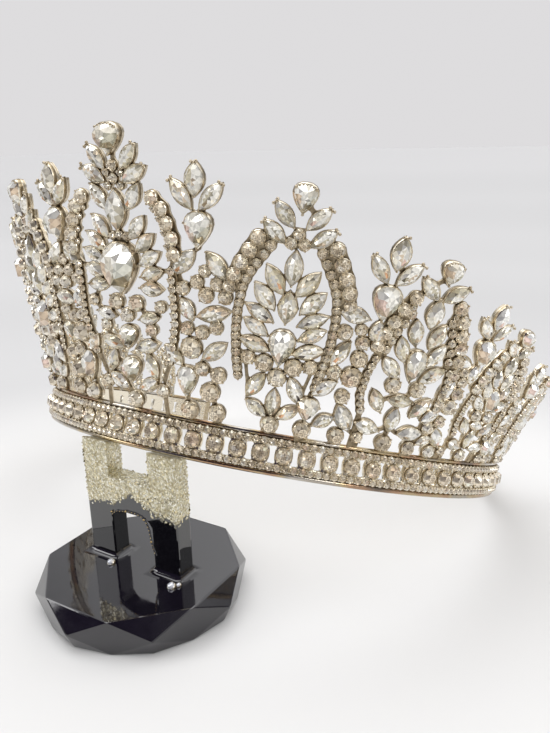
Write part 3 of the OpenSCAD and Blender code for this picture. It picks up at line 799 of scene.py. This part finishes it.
def cut_mesh(stone, rng, gain):
    # A girdle, two rings of crown facets and a table whose facets lean a little
    outline = stone.local()
    w = stone.deep
    n = len(outline)
    m = n // 2
    warm = stone.kind == "round"
    girdle = SEAT + 0.10 * w
    high = SEAT + RISE * w
    middle = girdle + 0.56 * (high - girdle)
    verts = [(x, y, SEAT) for x, y in outline]
    verts += [(x, y, girdle) for x, y in outline]
    verts += [(x * 0.80, y * 0.80, middle) for x, y in outline[1::2]]
    verts += [(x * TABLE, y * TABLE, high) for x, y in outline[::2]]
    across, lengthways = (0.14, 0.46) if stone.kind == "navette" else (0.30, 0.30)
    for k, (x, y) in enumerate(outline[1::2]):
        dip = (0.030 if k % 2 else -0.020) * w * (0.5 + rng.random())
        verts.append((x * across, y * lengthways, high + dip if dip < 0 else high - 0.2 * dip))
    verts.append((0, 0, high - 0.015 * w))
    b, c, t, i0, p = n, 2 * n, 2 * n + m, 2 * n + 2 * m, 2 * n + 3 * m
    faces = []
    tints = []
    zones = zones_of(rng, stone) if stone.kind != "navette" else stripes_of(rng)

    def facet(ids, light, ring):
        x = sum(verts[i][0] for i in ids) / len(ids)
        y = sum(verts[i][1] for i in ids) / len(ids)
        faces.append(ids)
        tints.append(times(times(zone_tone(rng, zones, stone, x, y, ring), (light,) * 3), gain))

    # Painted light and shade: each facet's tone is made lighter or darker by its light, with more contrast
    # on the champagne rounds
    low_light, high_light = (0.62, 1.25) if warm else (0.82, 1.07)
    for ids in strips(n, 2):
        facet(ids, 0.6, 0)
    for k in range(m):
        g0, g1, g2 = 2 * k, 2 * k + 1, (2 * k + 2) % n
        k0, k1 = (k - 1) % m, (k + 1) % m
        facet([b + g0, b + g1, c + k], 0.70, 0)
        facet([b + g1, b + g2, c + k], 1.0, 0)
        facet([b + g0, c + k, t + k, c + k0], high_light if k % 2 or not warm else 0.85, 0)
        facet([c + k, t + k1, t + k], low_light, 1)
        facet([t + k, t + k1, i0 + k], high_light, 1)
        facet([i0 + k0, t + k, i0 + k], low_light, 1 if warm else 2)
        facet([i0 + k0, i0 + k, p], high_light if k % 2 else low_light, 2)
    facet(list(range(n - 1, -1, -1)), 0.7, 0)
    return verts, faces, tints


# The metal of one stone
def lip_mesh(stone):
    # The thin raised rim of metal round a stone; its shine is a painted highlight on top and painted shade
    # at its foot and inner edge
    outline = stone.local()
    w = stone.deep
    wall = 0.17 if w > 2.6 else 0.14
    verts, shine = stacked(outline, [
        (wall + 0.03, -0.35, 0.10), (wall, 0.05 * w, 0.28), (wall * 0.75, SEAT + 0.12 * w, 0.80),
        (0.01, SEAT + 0.16 * w, 1.0), (-0.03 * w, SEAT + 0.12 * w, 0.12),
    ])
    return verts, strips(len(outline), 5), shine


def cup_mesh(stone):
    # The shallow cup that shows behind a stone; its shine is darker where it meets the plate, painted
    # shade, and lighter below
    outline = stone.local() if stone.width > 2.6 else circle(stone.width, 8)
    n = len(outline)
    inset = -min(0.34, stone.width * 0.14)
    verts, shine = stacked(outline, [
        (0.0, -0.95, 0.3), (-0.04, -1.36, 0.75), (-0.16, -1.53, 0.95), (inset, -CAST_T, 0.9)])
    return verts, strips(n, 4, 0, INWARDS) + [list(range(4 * n - 1, 3 * n - 1, -1))], shine


# Painted shade: the claws are made darker, standing for polished balls that mirror dark surroundings
CLAW_SHINE = 0.5


def claw_spots(stone, top):
    # Places and sizes of the small balls that hold a stone: x, y, rise and radius
    w = stone.width
    end = stone.length / 2
    if stone.kind == "round":
        r, count = (0.30, 4) if w > 2.6 else (0.22, 3)
        turns = [radians(45 + 360 / count * k) for k in range(count)]
        return [(cos(a) * (w / 2 + 0.08), sin(a) * (w / 2 + 0.08), 0, r) for a in turns]
    if stone.kind == "navette":
        upper = [(0, end, 0, 0.3)]
        if top:
            upper = [(x, end - 0.05 + 0.15 * x, 0, 0.42) for x in (-0.62, 0.62)] + [(0, end - 0.2, 0, 0.34)]
        return upper + [(0, -end, 0, 0.3)]
    spots = [(0, -end - 0.1, 0, 0.38)]
    if top:
        for k, r in enumerate((0.42, 0.34, 0.28, 0.34, 0.28, 0.34, 0.42)):
            x = (k - 3) / 3
            spots.append((x * 0.40 * w, end - 0.30 - 0.7 * x * x, 0.1, r))
        return spots
    for turn in (15, 165):
        spots.append((cos(radians(turn)) * (w / 2 + 0.1), 0.17 * stone.length, 0, 0.36))
    return spots


# Pierced castings: metal lies where the field of distances is under the level
STEP = 0.3
LEVEL = 0.2
SOFT = 0.2
MARGIN = 2.4
LONGEST = 2.5
LINK_MOST = 16
LINK_LEAST = 0.8
LINK_R = 0.55
FOOT_END = -0.7
FOOT_R = 1.15
# The edges that a line crosses in a cell, for each pattern of its corners
MOVES = {
    1: ["BL"], 2: ["RB"], 3: ["RL"], 4: ["TR"], 5: ["BL", "TR"], 6: ["TB"], 7: ["TL"],
    8: ["LT"], 9: ["BT"], 10: ["RB", "LT"], 11: ["RT"], 12: ["LR"], 13: ["BR"], 14: ["LB"],
}
# Row, column and direction of a cell's edges
EDGES = {"B": (0, 0, 0), "T": (1, 0, 0), "L": (0, 0, 1), "R": (0, 1, 1)}


def trace(field):
    # Closed lines at the level, with the metal on their left
    inside = field < LEVEL
    code = (inside[:-1, :-1] * 1 + inside[:-1, 1:] * 2 + inside[1:, 1:] * 4 + inside[1:, :-1] * 8)
    following = {}

    def edge(letter, j, i):
        dj, di, up = EDGES[letter]
        return (j + dj, i + di, up)

    def point(k):
        j, i, up = k
        v0 = field[j, i]
        v1 = field[j + 1, i] if up else field[j, i + 1]
        t = (LEVEL - v0) / (v1 - v0)
        return (i, j + t) if up else (i + t, j)

    for j, i in np.argwhere((code > 0) & (code < 15)).tolist():
        for start, end in MOVES[int(code[j, i])]:
            following[edge(start, j, i)] = edge(end, j, i)
    loops = []
    while following:
        line = []
        k = next(iter(following))
        while k in following:
            line.append(point(k))
            k = following.pop(k)
        if len(line) > 5:
            loops.append(line)
    return loops


def thin_line(points, tolerance):
    # Leaves out points that a straight line would pass within the tolerance
    if len(points) < 3:
        return points
    pts = np.array(points)
    e = pts[-1] - pts[0]
    q = pts[1:-1] - pts[0]
    length = hypot(e[0], e[1])
    d = np.abs(q[:, 0] * e[1] - q[:, 1] * e[0]) / length
    k = 1 + int(d.argmax())
    if d[k - 1] <= tolerance and length <= LONGEST:
        return [points[0], points[-1]]
    return thin_line(points[:k + 1], tolerance)[:-1] + thin_line(points[k:], tolerance)


def area_of(points):
    pairs = zip(points, points[1:] + points[:1])
    return sum(ax * by - bx * ay for (ax, ay), (bx, by) in pairs) / 2


def capsule_distance(points, a, b):
    e = np.array(b) - np.array(a)
    w = points - np.array(a)
    t = np.clip((w @ e) / max(float(e @ e), 1e-9), 0, 1)
    d = w - t[:, None] * e[None, :]
    return np.sqrt((d * d).sum(1))


def links_between(stones):
    # Shortest bars that join all stones of a motif
    rings = [s.ring() for s in stones]
    near = []
    for i, a in enumerate(stones):
        for j in range(i + 1, len(stones)):
            if gap_between(a, stones[j]) > LINK_MOST:
                continue
            d = np.sqrt(((rings[i][:, None, :] - rings[j][None, :, :]) ** 2).sum(2))
            u, v = divmod(int(d.argmin()), len(rings[j]))
            near.append((float(d[u, v]), i, j, tuple(rings[i][u]), tuple(rings[j][v])))
    near.sort(key=lambda r: r[0])
    group = list(range(len(stones)))
    bars = []
    for d, i, j, p, q in near:
        if top_of(group, i) != top_of(group, j):
            group[top_of(group, i)] = top_of(group, j)
            if d > LINK_LEAST:
                bars.append((p, q, LINK_R))
    return bars


def foot_bars(stones):
    # Feet that solder the lowest stones to the band's upper rim
    return [((s.x, s.y), (s.x, FOOT_END), min(FOOT_R, s.width / 2 + 0.2)) for s in stones
            if s.kind == "round" and s.y < 4.8 and s.width > 1.4]


def wire_bars(motif):
    # Plain wires at the foot of a motif: both ends and the radius, on the right
    bars = []
    if motif == "arch_1":
        bars = [((8.0, 18.0), (6.5, 11.0), 0.42)]
    elif motif == "centre":
        bars = [((9.2, 6.0), (9.6, FOOT_END), 0.6), ((11.8, 13.6), (9.6, 8.6), 0.6)]
    elif motif.startswith("arch"):
        factor = HEIGHTS[motif] / HEIGHTS["arch_2"]
        bars = [((9.0 * factor, 9.2 * factor), (8.4 * factor, FOOT_END), 0.7)]
    return [((sign * p[0], p[1]), (sign * q[0], q[1]), r) for sign in (1, -1) for p, q, r in bars]


def strip_bars(motif, stones):
    # The rows of an arch sit in one strip of metal with smooth edges
    if motif.startswith("fleur"):
        return []
    bars = []
    far = 0.11 * HEIGHTS[motif]
    rounds = [s for s in stones if s.kind == "round" and s.node is None
              and 1.25 < s.width < 3.7 and (abs(s.x) > far or s.y > 5.5 * far)]
    for i, a in enumerate(rounds):
        for b in rounds[i + 1:]:
            apart = gap_between(a, b) - (a.width + b.width) / 2
            if apart < 0.55 and (a.x > 0) == (b.x > 0):
                bars.append(((a.x, a.y), (b.x, b.y), min(a.width, b.width) / 2 + 0.08))
    return bars


def plate_field(stones, bars):
    rings = [s.ring() for s in stones]
    ends = np.vstack(rings + [np.array(bar[:2]) for bar in bars])
    origin = ends.min(0) - MARGIN
    nx, ny = ((ends.max(0) + MARGIN - origin) / STEP).astype(int) + 2
    total = np.zeros((ny, nx))
    gx = origin[0] + STEP * np.arange(nx)
    gy = origin[1] + STEP * np.arange(ny)

    def spread(corners, measure):
        i0, j0 = np.maximum(0, (corners.min(0) - 3 - origin) / STEP).astype(int)
        i1, j1 = ((corners.max(0) + 3 - origin) / STEP).astype(int) + 2
        mx, my = np.meshgrid(gx[i0:i1], gy[j0:j1])
        d = measure(np.column_stack((mx.ravel(), my.ravel()))).reshape(mx.shape)
        total[j0:j1, i0:i1] += np.exp(-np.clip(d, -3, 12) / SOFT)

    for ring in rings:
        spread(ring, lambda c, ring=ring: polygon_distance(ring, c))
    for p, q, r in bars:
        spread(np.array([p, q]), lambda c, p=p, q=q, r=r: capsule_distance(c, p, q) - r + LEVEL)
    return -SOFT * np.log(np.maximum(total, 1e-20)), *origin


def plate_outlines(stones, bars):
    field, x0, y0 = plate_field(stones, bars)
    for line in trace(field):
        line = [(x0 + STEP * x, y0 + STEP * y) for x, y in line]
        half = len(line) // 2
        line = thin_line(line[:half + 1], 0.04)[:-1] + thin_line(line[half:] + line[:1], 0.04)[:-1]
        if len(line) > 4 and abs(area_of(line)) > 0.12:
            yield line


def plate_mesh(stones, bars):
    # A cast plate with rounded openings between its stones and bevelled edges; its top is made darker,
    # painted shade between the stones, and its sides lighter
    levels = [(-0.24, -1.05, 0.6), (-0.16, -0.85, 0.62), (0.0, -0.3, 0.45), (-0.06, -0.16, 0.20)]
    verts = []
    shine = []
    faces = []
    shapes = []
    lower = []
    upper = []
    for line in plate_outlines(stones, bars):
        n = len(line)
        start = len(verts)
        rings, ring_shine = stacked(line, levels)
        verts += rings
        shine += ring_shine
        faces += strips(n, 4, start)
        lower += range(start, start + n)
        upper += range(start + 3 * n, start + 4 * n)
        shapes.append([Vector((x, y, 0)) for x, y, _ in rings[3 * n:]])
    for tri in tessellate_polygon(shapes):
        (ax, ay, _), (bx, by, _), (cx, cy, _) = [verts[upper[i]] for i in tri]
        turn = (bx - ax) * (cy - ay) - (cx - ax) * (by - ay)
        if abs(turn) < 1e-9:
            continue
        tri = list(tri) if turn > 0 else list(tri)[::-1]
        faces.append([upper[i] for i in tri])
        faces.append([lower[i] for i in tri[::-1]])
    return verts, faces, shine


def add_motif(motif, side, key):
    matrix = motif_matrix(motif, side)
    extra = small_of[key]
    everything = stones_of[key] + extra
    on_side = motif[-1] in "345"
    # Painted light: paler stones on the side motifs, warmer ones at the front
    gain = SIDE_GAIN if on_side else FRONT_GAIN
    rng = random.Random(key)
    metal = Bag("shine")
    bars = links_between(everything) + foot_bars(everything) + wire_bars(motif)
    bars += strip_bars(motif, everything)
    metal.add(plate_mesh(everything, bars), matrix, side)
    for s in everything:
        place = matrix @ s.place()
        metal.add(lip_mesh(s), place, side, smooth=True)
        metal.add(cup_mesh(s), place, side, smooth=True)
        for x, y, rise, r in claw_spots(s, s.y > 0.8 * HEIGHTS[motif]):
            z = SEAT + 0.17 * s.deep + rise
            metal.add(ball_mesh(x, y, z, r, CLAW_SHINE), place, side, smooth=True)
    # Painted light: the metal of the side motifs is made lighter
    if on_side:
        metal.values = [min(1.0, v + SIDE_SHINE) for v in metal.values]
    metal.make("casting_" + key, SILVER, "crown_metal", ["crown_frame"])
    bags = {}
    for s in everything:
        bag = bags.setdefault(s.node, Bag("tint"))
        bag.add(cut_mesh(s, rng, gain), matrix @ s.place(), side)
    for node, bag in bags.items():
        if node is None:
            bag.make("small_stones_" + key, CHAMPAGNE, "field_stones")
        else:
            slot = "clear_stones" if node.endswith("_pear") else "field_stones"
            bag.make("cut_" + node, CLEAR, slot, [node])


for motif, side, key in MOTIFS:
    add_motif(motif, side, key)

# The band: heights and places in mm on the unrolled wall
ROW_H = 3.1
ROW_D = 1.8
ROW_PITCH = 2.08
ROUND_D = 3.95
WIRE_R = 0.69
WALL_H = 3.95
SLOT_QUARTER = [(0.68, 2.2), (0.96, 1.9), (0.68, 1.1), (0.58, 0.0)]
CELL_W = radians(SLOT_STEP) * BAND_R / 2
CELL_QUARTER = [(0.97, WALL_H), (CELL_W, WALL_H), (CELL_W, 1.1), (CELL_W, 0.0)]


def around(quarter):
    half = quarter + [(x, -y) for x, y in quarter[-2::-1]]
    return half + [(-x, y) for x, y in half[::-1]]


def band_point(deg, x, h, r):
    a = radians(deg) + x / BAND_R
    return (r * sin(a), -r * cos(a), h)


def band_wall(bag):
    # Cells with an hourglass slot each, and a plain end on both sides; the outer face gets painted shade
    # behind the stones and the slot edges are made lighter
    slot_ring = around(SLOT_QUARTER)
    cell_ring = around(CELL_QUARTER)
    n = len(slot_ring)
    wide = [(x + (0.14 if x > 0 else -0.14), h * 1.05) for x, h in slot_ring]
    inner = BAND_R - BAND_T
    rings = [(cell_ring, BAND_R, 0.24), (wide, BAND_R, 0.8), (slot_ring, BAND_R - 0.18, 0.75),
             (slot_ring, inner, 0.9), (cell_ring, inner, 0.9)]
    shine = [s for _, _, s in rings for _ in range(n)]
    for cell in range(SLOT_N):
        deg = (cell - (SLOT_N - 1) / 2) * SLOT_STEP
        verts = [band_point(deg, x, h, r) for ring, r, _ in rings for x, h in ring]
        bag.add((verts, strips(n, 5), shine), REST)
    for sign in (1, -1):
        verts = [band_point(deg, 0, h, r) for deg in (sign * SLOT_N / 2 * SLOT_STEP, sign * REACH)
                 for r in (BAND_R, inner) for h in (-WALL_H, WALL_H)]
        bag.add((verts, [[0, 4, 5, 1], [3, 7, 6, 2], [4, 6, 7, 5]], [0.5] * 8), REST, sign)


def wire_mesh(h, count=200, sides=10):
    # A rim wire with closed ends
    verts = []
    for i in range(count + 1):
        deg = -REACH + 2 * REACH * i / count
        for k in range(sides):
            turn = 2 * pi * k / sides
            r = BAND_R - 0.6 + WIRE_R * cos(turn)
            verts.append(band_point(deg, 0, h + WIRE_R * sin(turn), r))
    faces = strips(sides, count + 1, 0, DOWNWARDS)
    faces.append(list(range(sides)))
    faces.append(list(range(len(verts) - 1, len(verts) - 1 - sides, -1)))
    return verts, faces, [0.85] * len(verts)


wall = Bag("shine")
rims = Bag("shine")
beads = Bag("shine")
rounds = Bag("tint")
rows = Bag("tint")
band_rng = random.Random("band")
band_wall(wall)
for sign in (1, -1):
    rims.add(wire_mesh(sign * (BAND_H / 2 - 0.7)), REST, smooth=True)
for i in range(SLOT_N + 1):
    place = band_matrix((i - SLOT_N / 2) * SLOT_STEP)
    s = small_round(0, 0, ROUND_D)
    wall.add(lip_mesh(s), place, smooth=True)
    for x, y in ((1.42, 1.42), (1.42, -1.42), (-1.42, 1.42), (-1.42, -1.42)):
        wall.add(ball_mesh(x, y, 0.85, 0.3), place, smooth=True)
    rounds.add(cut_mesh(s, band_rng, BAND_GAIN), place)
row_step = degrees(ROW_PITCH / BAND_R)
row_n = int((REACH - 1) / row_step)
for sign in (1, -1):
    for i in range(-row_n, row_n + 1):
        place = band_matrix(i * row_step)
        s = small_round(0, sign * ROW_H, ROW_D)
        beads.add(lip_mesh(s), place @ s.place(), smooth=True)
        for shift in (0.6, -0.6):
            beads.add(ball_mesh(ROW_PITCH / 2, sign * ROW_H + shift, 0.42, 0.26), place, smooth=True)
        rows.add(cut_mesh(s, band_rng, BAND_GAIN), place @ s.place())
wall.make("band_wall", SILVER, "crown_metal", ["crown_frame"])
rims.make("band_rim_wires", RIM, "crown_metal", ["crown_frame"])
beads.make("band_row_settings", SILVER, "crown_metal", ["crown_frame"])
rounds.make("band_round_stones", CHAMPAGNE, "field_stones")
rows.make("band_row_stones", CHAMPAGNE, "field_stones")

# The stand: places in mm
GLITTER_TOP = 43
BAR_FACE = 36
FLAKES_PER_MM2 = 3.0
FLAKE_TONES = [
    ((0.76, 0.71, 0.53), 36), ((0.90, 0.88, 0.78), 20), ((0.60, 0.54, 0.38), 23),
    ((0.44, 0.39, 0.25), 9), ((0.86, 0.74, 0.45), 12),
]
THREAD = [(-7.75, 24.56), (-8.0, 24.1), (-7.4, 23.9), (-7.0, 24.5), (-5.75, 25.2), (-2.1, 26.0),
          (0.7, 26.1), (2.8, 25.7), (4.2, 24.5), (5.1, 22.3), (5.5, 19.3), (6.0, 17.1), (6.8, 15.2)]
POST_X = 11.2
POST_HALF = 4.3
SKIRT_N = 40
SKIRT_LEVELS = [(2.3, 9.91, 1), (1.7, 9.98, 1), (1.1, 10.12, 1), (0.55, 10.42, 1), (0.2, 10.9, 1),
                (-0.1, 11.5, 1)]
STUD_Z = 10.1
STUDS = [(-7.63, -47.2, 2.0), (13.95, -47.9, 2.1), (15.3, -46.6, 1.2)]


def bevelled_copy(node, name, width, material):
    bm = bmesh.new()
    bm.from_mesh(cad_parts[node].data)
    bmesh.ops.remove_doubles(bm, verts=bm.verts, dist=0.00002)
    bmesh.ops.dissolve_limit(bm, angle_limit=radians(1), verts=bm.verts, edges=bm.edges)
    sharp = [e for e in bm.edges if len(e.link_faces) == 2 and e.calc_face_angle() > 0.2]
    bmesh.ops.bevel(bm, geom=sharp, offset=width, segments=2, profile=0.6, affect="EDGES",
                    clamp_overlap=True)
    mesh = bpy.data.meshes.new(name)
    bm.to_mesh(mesh)
    bm.free()
    mesh.materials.clear()
    mesh.materials.append(material)
    put_piece(name, mesh, [node])


def glitter_edge(p):
    # Height of the ragged lower edge of the glitter
    hump = 4.4 * exp(-(((p.x + 0.8) / 5) ** 2))
    return 26.6 + hump + 0.5 * sin(p.x * 1.7 + p.y) + 0.4 * sin(p.x * 4.1 + 2 * p.y)


def flake_tint(rng):
    base = pick(rng, FLAKE_TONES)
    other = pick(rng, FLAKE_TONES)
    share = rng.random() * 0.3
    return times(mixed(base, other, share), (0.86 + 0.24 * rng.random(),) * 3)


def add_flake(bag, rng, corners, normal):
    # One flake somewhere on a triangle of the fork, if that is above the edge of the glitter
    u = rng.random()
    v = rng.random()
    if u + v > 1:
        u, v = 1 - u, 1 - v
    p = corners[0] + (corners[1] - corners[0]) * u + (corners[2] - corners[0]) * v
    if p.z < glitter_edge(p) + rng.random() * 2.0 - 1.0 or p.z > GLITTER_TOP:
        return
    lean = Vector((rng.gauss(0, 0.08), rng.gauss(0, 0.08), rng.gauss(0, 0.08)))
    up = (normal + lean).normalized()
    ahead = Matrix.Rotation(rng.random() * pi, 3, up) @ up.orthogonal().normalized()
    aside = up.cross(ahead)
    r = 0.20 + 0.17 * rng.random()
    turns = [pi * k / 3 for k in range(6)]
    verts = [p + normal * 0.02 + ahead * r * cos(a) + aside * r * sin(a) for a in turns]
    bag.add((verts, [list(range(6))], [flake_tint(rng)]), AS_IT_IS)


def add_flakes():
    rng = random.Random("flakes")
    bag = Bag("tint")
    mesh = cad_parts["stand_fork"].data
    mesh.calc_loop_triangles()
    for tri in mesh.loop_triangles:
        corners = [mesh.vertices[i].co / MM for i in tri.vertices]
        normal = (corners[1] - corners[0]).cross(corners[2] - corners[0])
        size = normal.length / 2
        normal.normalize()
        if size < 0.01 or normal.z > 0.8 and min(c.z for c in corners) > BAR_FACE:
            continue
        expect = size * FLAKES_PER_MM2
        count = int(expect) + (1 if rng.random() < expect - int(expect) else 0)
        for _ in range(count):
            add_flake(bag, rng, corners, normal)
    bag.make("stand_glitter_flakes", FLAKES, "stand_glitter")


def add_thread():
    # A beaded gold thread along the edge of the opening
    beading = Bag()
    cord = Bag()
    front_y = SHIFT_Y + STAND_Y - POST_D / 2
    for step, (x, z) in enumerate(along(THREAD, 0.27)):
        cord.add(ball_mesh(x, front_y - 0.05, z, 0.3), AS_IT_IS, smooth=True)
        if step % 4 == 0:
            r = 0.15 if step % 24 else 0.32
            beading.add(ball_mesh(x, front_y - 0.3, z, r), AS_IT_IS, smooth=True)
    beading.make("stand_gold_beads", GOLD, "stand_glitter")
    cord.make("stand_black_thread", BLACK, "stand_black")


def add_skirts():
    # Glossy skirts where the posts are set on the base
    bag = Bag()
    ring = []
    for x, y in circle(2.0, SKIRT_N):
        bulge = 1.0 / max(abs(x), abs(y))
        ring.append((x * bulge * POST_HALF, y * bulge * POST_D / 2))
    verts, shine = stacked(ring, SKIRT_LEVELS)
    for shift in (-POST_X, POST_X):
        place = Matrix.Translation((STAND_X + shift, SHIFT_Y + STAND_Y, 0))
        bag.add((verts, strips(SKIRT_N, len(SKIRT_LEVELS)), shine), place, smooth=True)
    bag.make("stand_post_skirts", BLACK, "stand_black")


def add_studs():
    # Small clear studs beside the posts, with painted reflections: every third facet dark, the others
    # bluish white
    stones = Bag("tint")
    metal = Bag("shine")
    rng = random.Random("studs")
    for x, y, d in STUDS:
        s = small_round(0, 0, d)
        place = Matrix.Translation((x, y, STUD_Z)) @ turned(35, "X")
        verts, faces, _ = cut_mesh(s, rng, EVEN)
        tints = [(0.92, 0.94, 1.0) if k % 3 else (0.35, 0.36, 0.40) for k in range(len(faces))]
        stones.add((verts, faces, tints), place)
        metal.add(lip_mesh(s), place, smooth=True)
    stones.make("stand_stud_stones", CLEAR, "clear_stones")
    metal.make("stand_stud_rims", SILVER, "crown_metal")


bevelled_copy("stand_base", "stand_black_base", 0.00035, BLACK)
bevelled_copy("stand_fork", "stand_glitter_fork", 0.0004, GLITTER)
add_flakes()
add_thread()
add_skirts()
add_studs()

# The camera at the photo's angle
EYE = Vector((120.27, -169.02, 119.3)) * MM
BACK = Vector((0.4947, -0.8149, 0.3022)).normalized()
ROLL = radians(-1.32)


def add_camera():
    level = Vector((-BACK.y, BACK.x, 0)).normalized()
    right = level * cos(ROLL) + BACK.cross(level) * sin(ROLL)
    data = bpy.data.cameras.new("photo_camera")
    data.sensor_width = 36.0
    data.lens = 35.05
    data.clip_start = 0.01
    data.clip_end = 60.0
    camera = bpy.data.objects.new("photo_camera", data)
    bpy.context.scene.collection.objects.link(camera)
    axes = Matrix((right, BACK.cross(right), BACK)).transposed().to_4x4()
    camera.matrix_world = Matrix.Translation(EYE) @ axes
    bpy.context.scene.camera = camera


# The floor, with a soft pool of light
POOL = (0.0415, -0.0684, 0)
POOL_REACH = 3.0
POOL_STOPS = [(0.088, 0.540), (0.14, 0.528), (0.20, 0.570), (0.30, 0.615), (0.5, 0.680)]


def paint_floor(shader):
    away = add(shader, "VectorMath", {0: coords_of(shader), 1: POOL}, operation="DISTANCE")
    fade = span_of(shader, away.outputs["Value"], 0.0, 1.0, 0.0, POOL_REACH)
    stops = [(place, (grey, grey * 0.994, grey)) for place, grey in POOL_STOPS]
    stops = [(0.055, (0.690, 0.685, 0.682))] + stops + [(1.0, (0.722, 0.716, 0.722))]
    feed(shader, {"Base Color": ramp_of(shader, fade, stops, "EASE"), "Roughness": 0.6,
                  "Specular IOR Level": 0.15})


def add_floor():
    mesh = bpy.data.meshes.new("pale_floor")
    mesh.from_pydata([(-8, -8, 0), (8, -8, 0), (8, 8, 0), (-8, 8, 0)], [], [[0, 1, 2, 3]])
    mesh.materials.append(new_material("pale_table", paint_floor))
    floor = bpy.data.objects.new("pale_floor", mesh)
    floor.location.z = -0.0002
    bpy.context.scene.collection.objects.link(floor)


# The studio: greys from below to above, soft patches, and a dark side that polished faces mirror
SKY_STOPS = [(0.50, 0.55), (0.56, 0.30), (0.66, 0.34), (0.74, 1.0), (0.85, 1.5)]
DARK_SIDE = (-0.05, -0.78, 0.62)


def add_world():
    world = bpy.data.worlds.new("studio")
    bpy.context.scene.world = world
    world.use_nodes = True
    near = world.node_tree.nodes["Background"]
    around_it = coords_of(near, "Generated")
    split = add(near, "SeparateXYZ", {"Vector": around_it})
    stops = [(place, (grey, grey, grey * 1.01)) for place, grey in SKY_STOPS]
    stops = [(0.0, (0.60, 0.60, 0.61))] + stops + [(1.0, (1.8, 1.8, 1.8))]
    sky = ramp_of(near, span_of(near, split.outputs["Z"], 0.0, 1.0, -1.0, 1.0), stops)
    patches = span_of(near, noise_of(near, 1.6, 1.0, "Generated"), 0.55, 1.35, 0.38, 0.62)
    front = add(near, "VectorMath", {0: around_it, 1: DARK_SIDE}, operation="DOT_PRODUCT")
    shade = span_of(near, front.outputs["Value"], 0.0, 1.0, 0.60, 0.80, interpolation_type="SMOOTHSTEP")
    path = add(near, "LightPath", {}).outputs
    only = maths(near, "MULTIPLY", shade, path["Is Glossy Ray"])
    dark = blend_of(near, blend_of(near, sky, patches), (0.045, 0.035, 0.065, 1), only, "MIX")
    plain = blend_of(near, dark, (0.73, 0.72, 0.73, 1), path["Is Camera Ray"], "MIX")
    feed(near, {"Color": plain, "Strength": 1.0})


def softbox(name, place, size, power):
    data = bpy.data.lights.new(name, "AREA")
    data.shape = "SQUARE"
    data.size = size
    data.energy = power
    lamp = bpy.data.objects.new(name, data)
    lamp.location = place
    lamp.rotation_mode = "QUATERNION"
    lamp.rotation_quaternion = (Vector((0, 0, 0.05)) - Vector(place)).to_track_quat("-Z", "Y")
    bpy.context.scene.collection.objects.link(lamp)


add_camera()
add_floor()
add_world()
softbox("softbox_top", (-0.15, 0.1, 0.9), 0.8, 3.0)
softbox("softbox_left", (-0.8, -0.6, 0.5), 0.4, 2.0)
softbox("softbox_right", (0.9, -0.3, 0.6), 0.35, 2.0)
bpy.context.scene.view_settings.view_transform = "Standard"
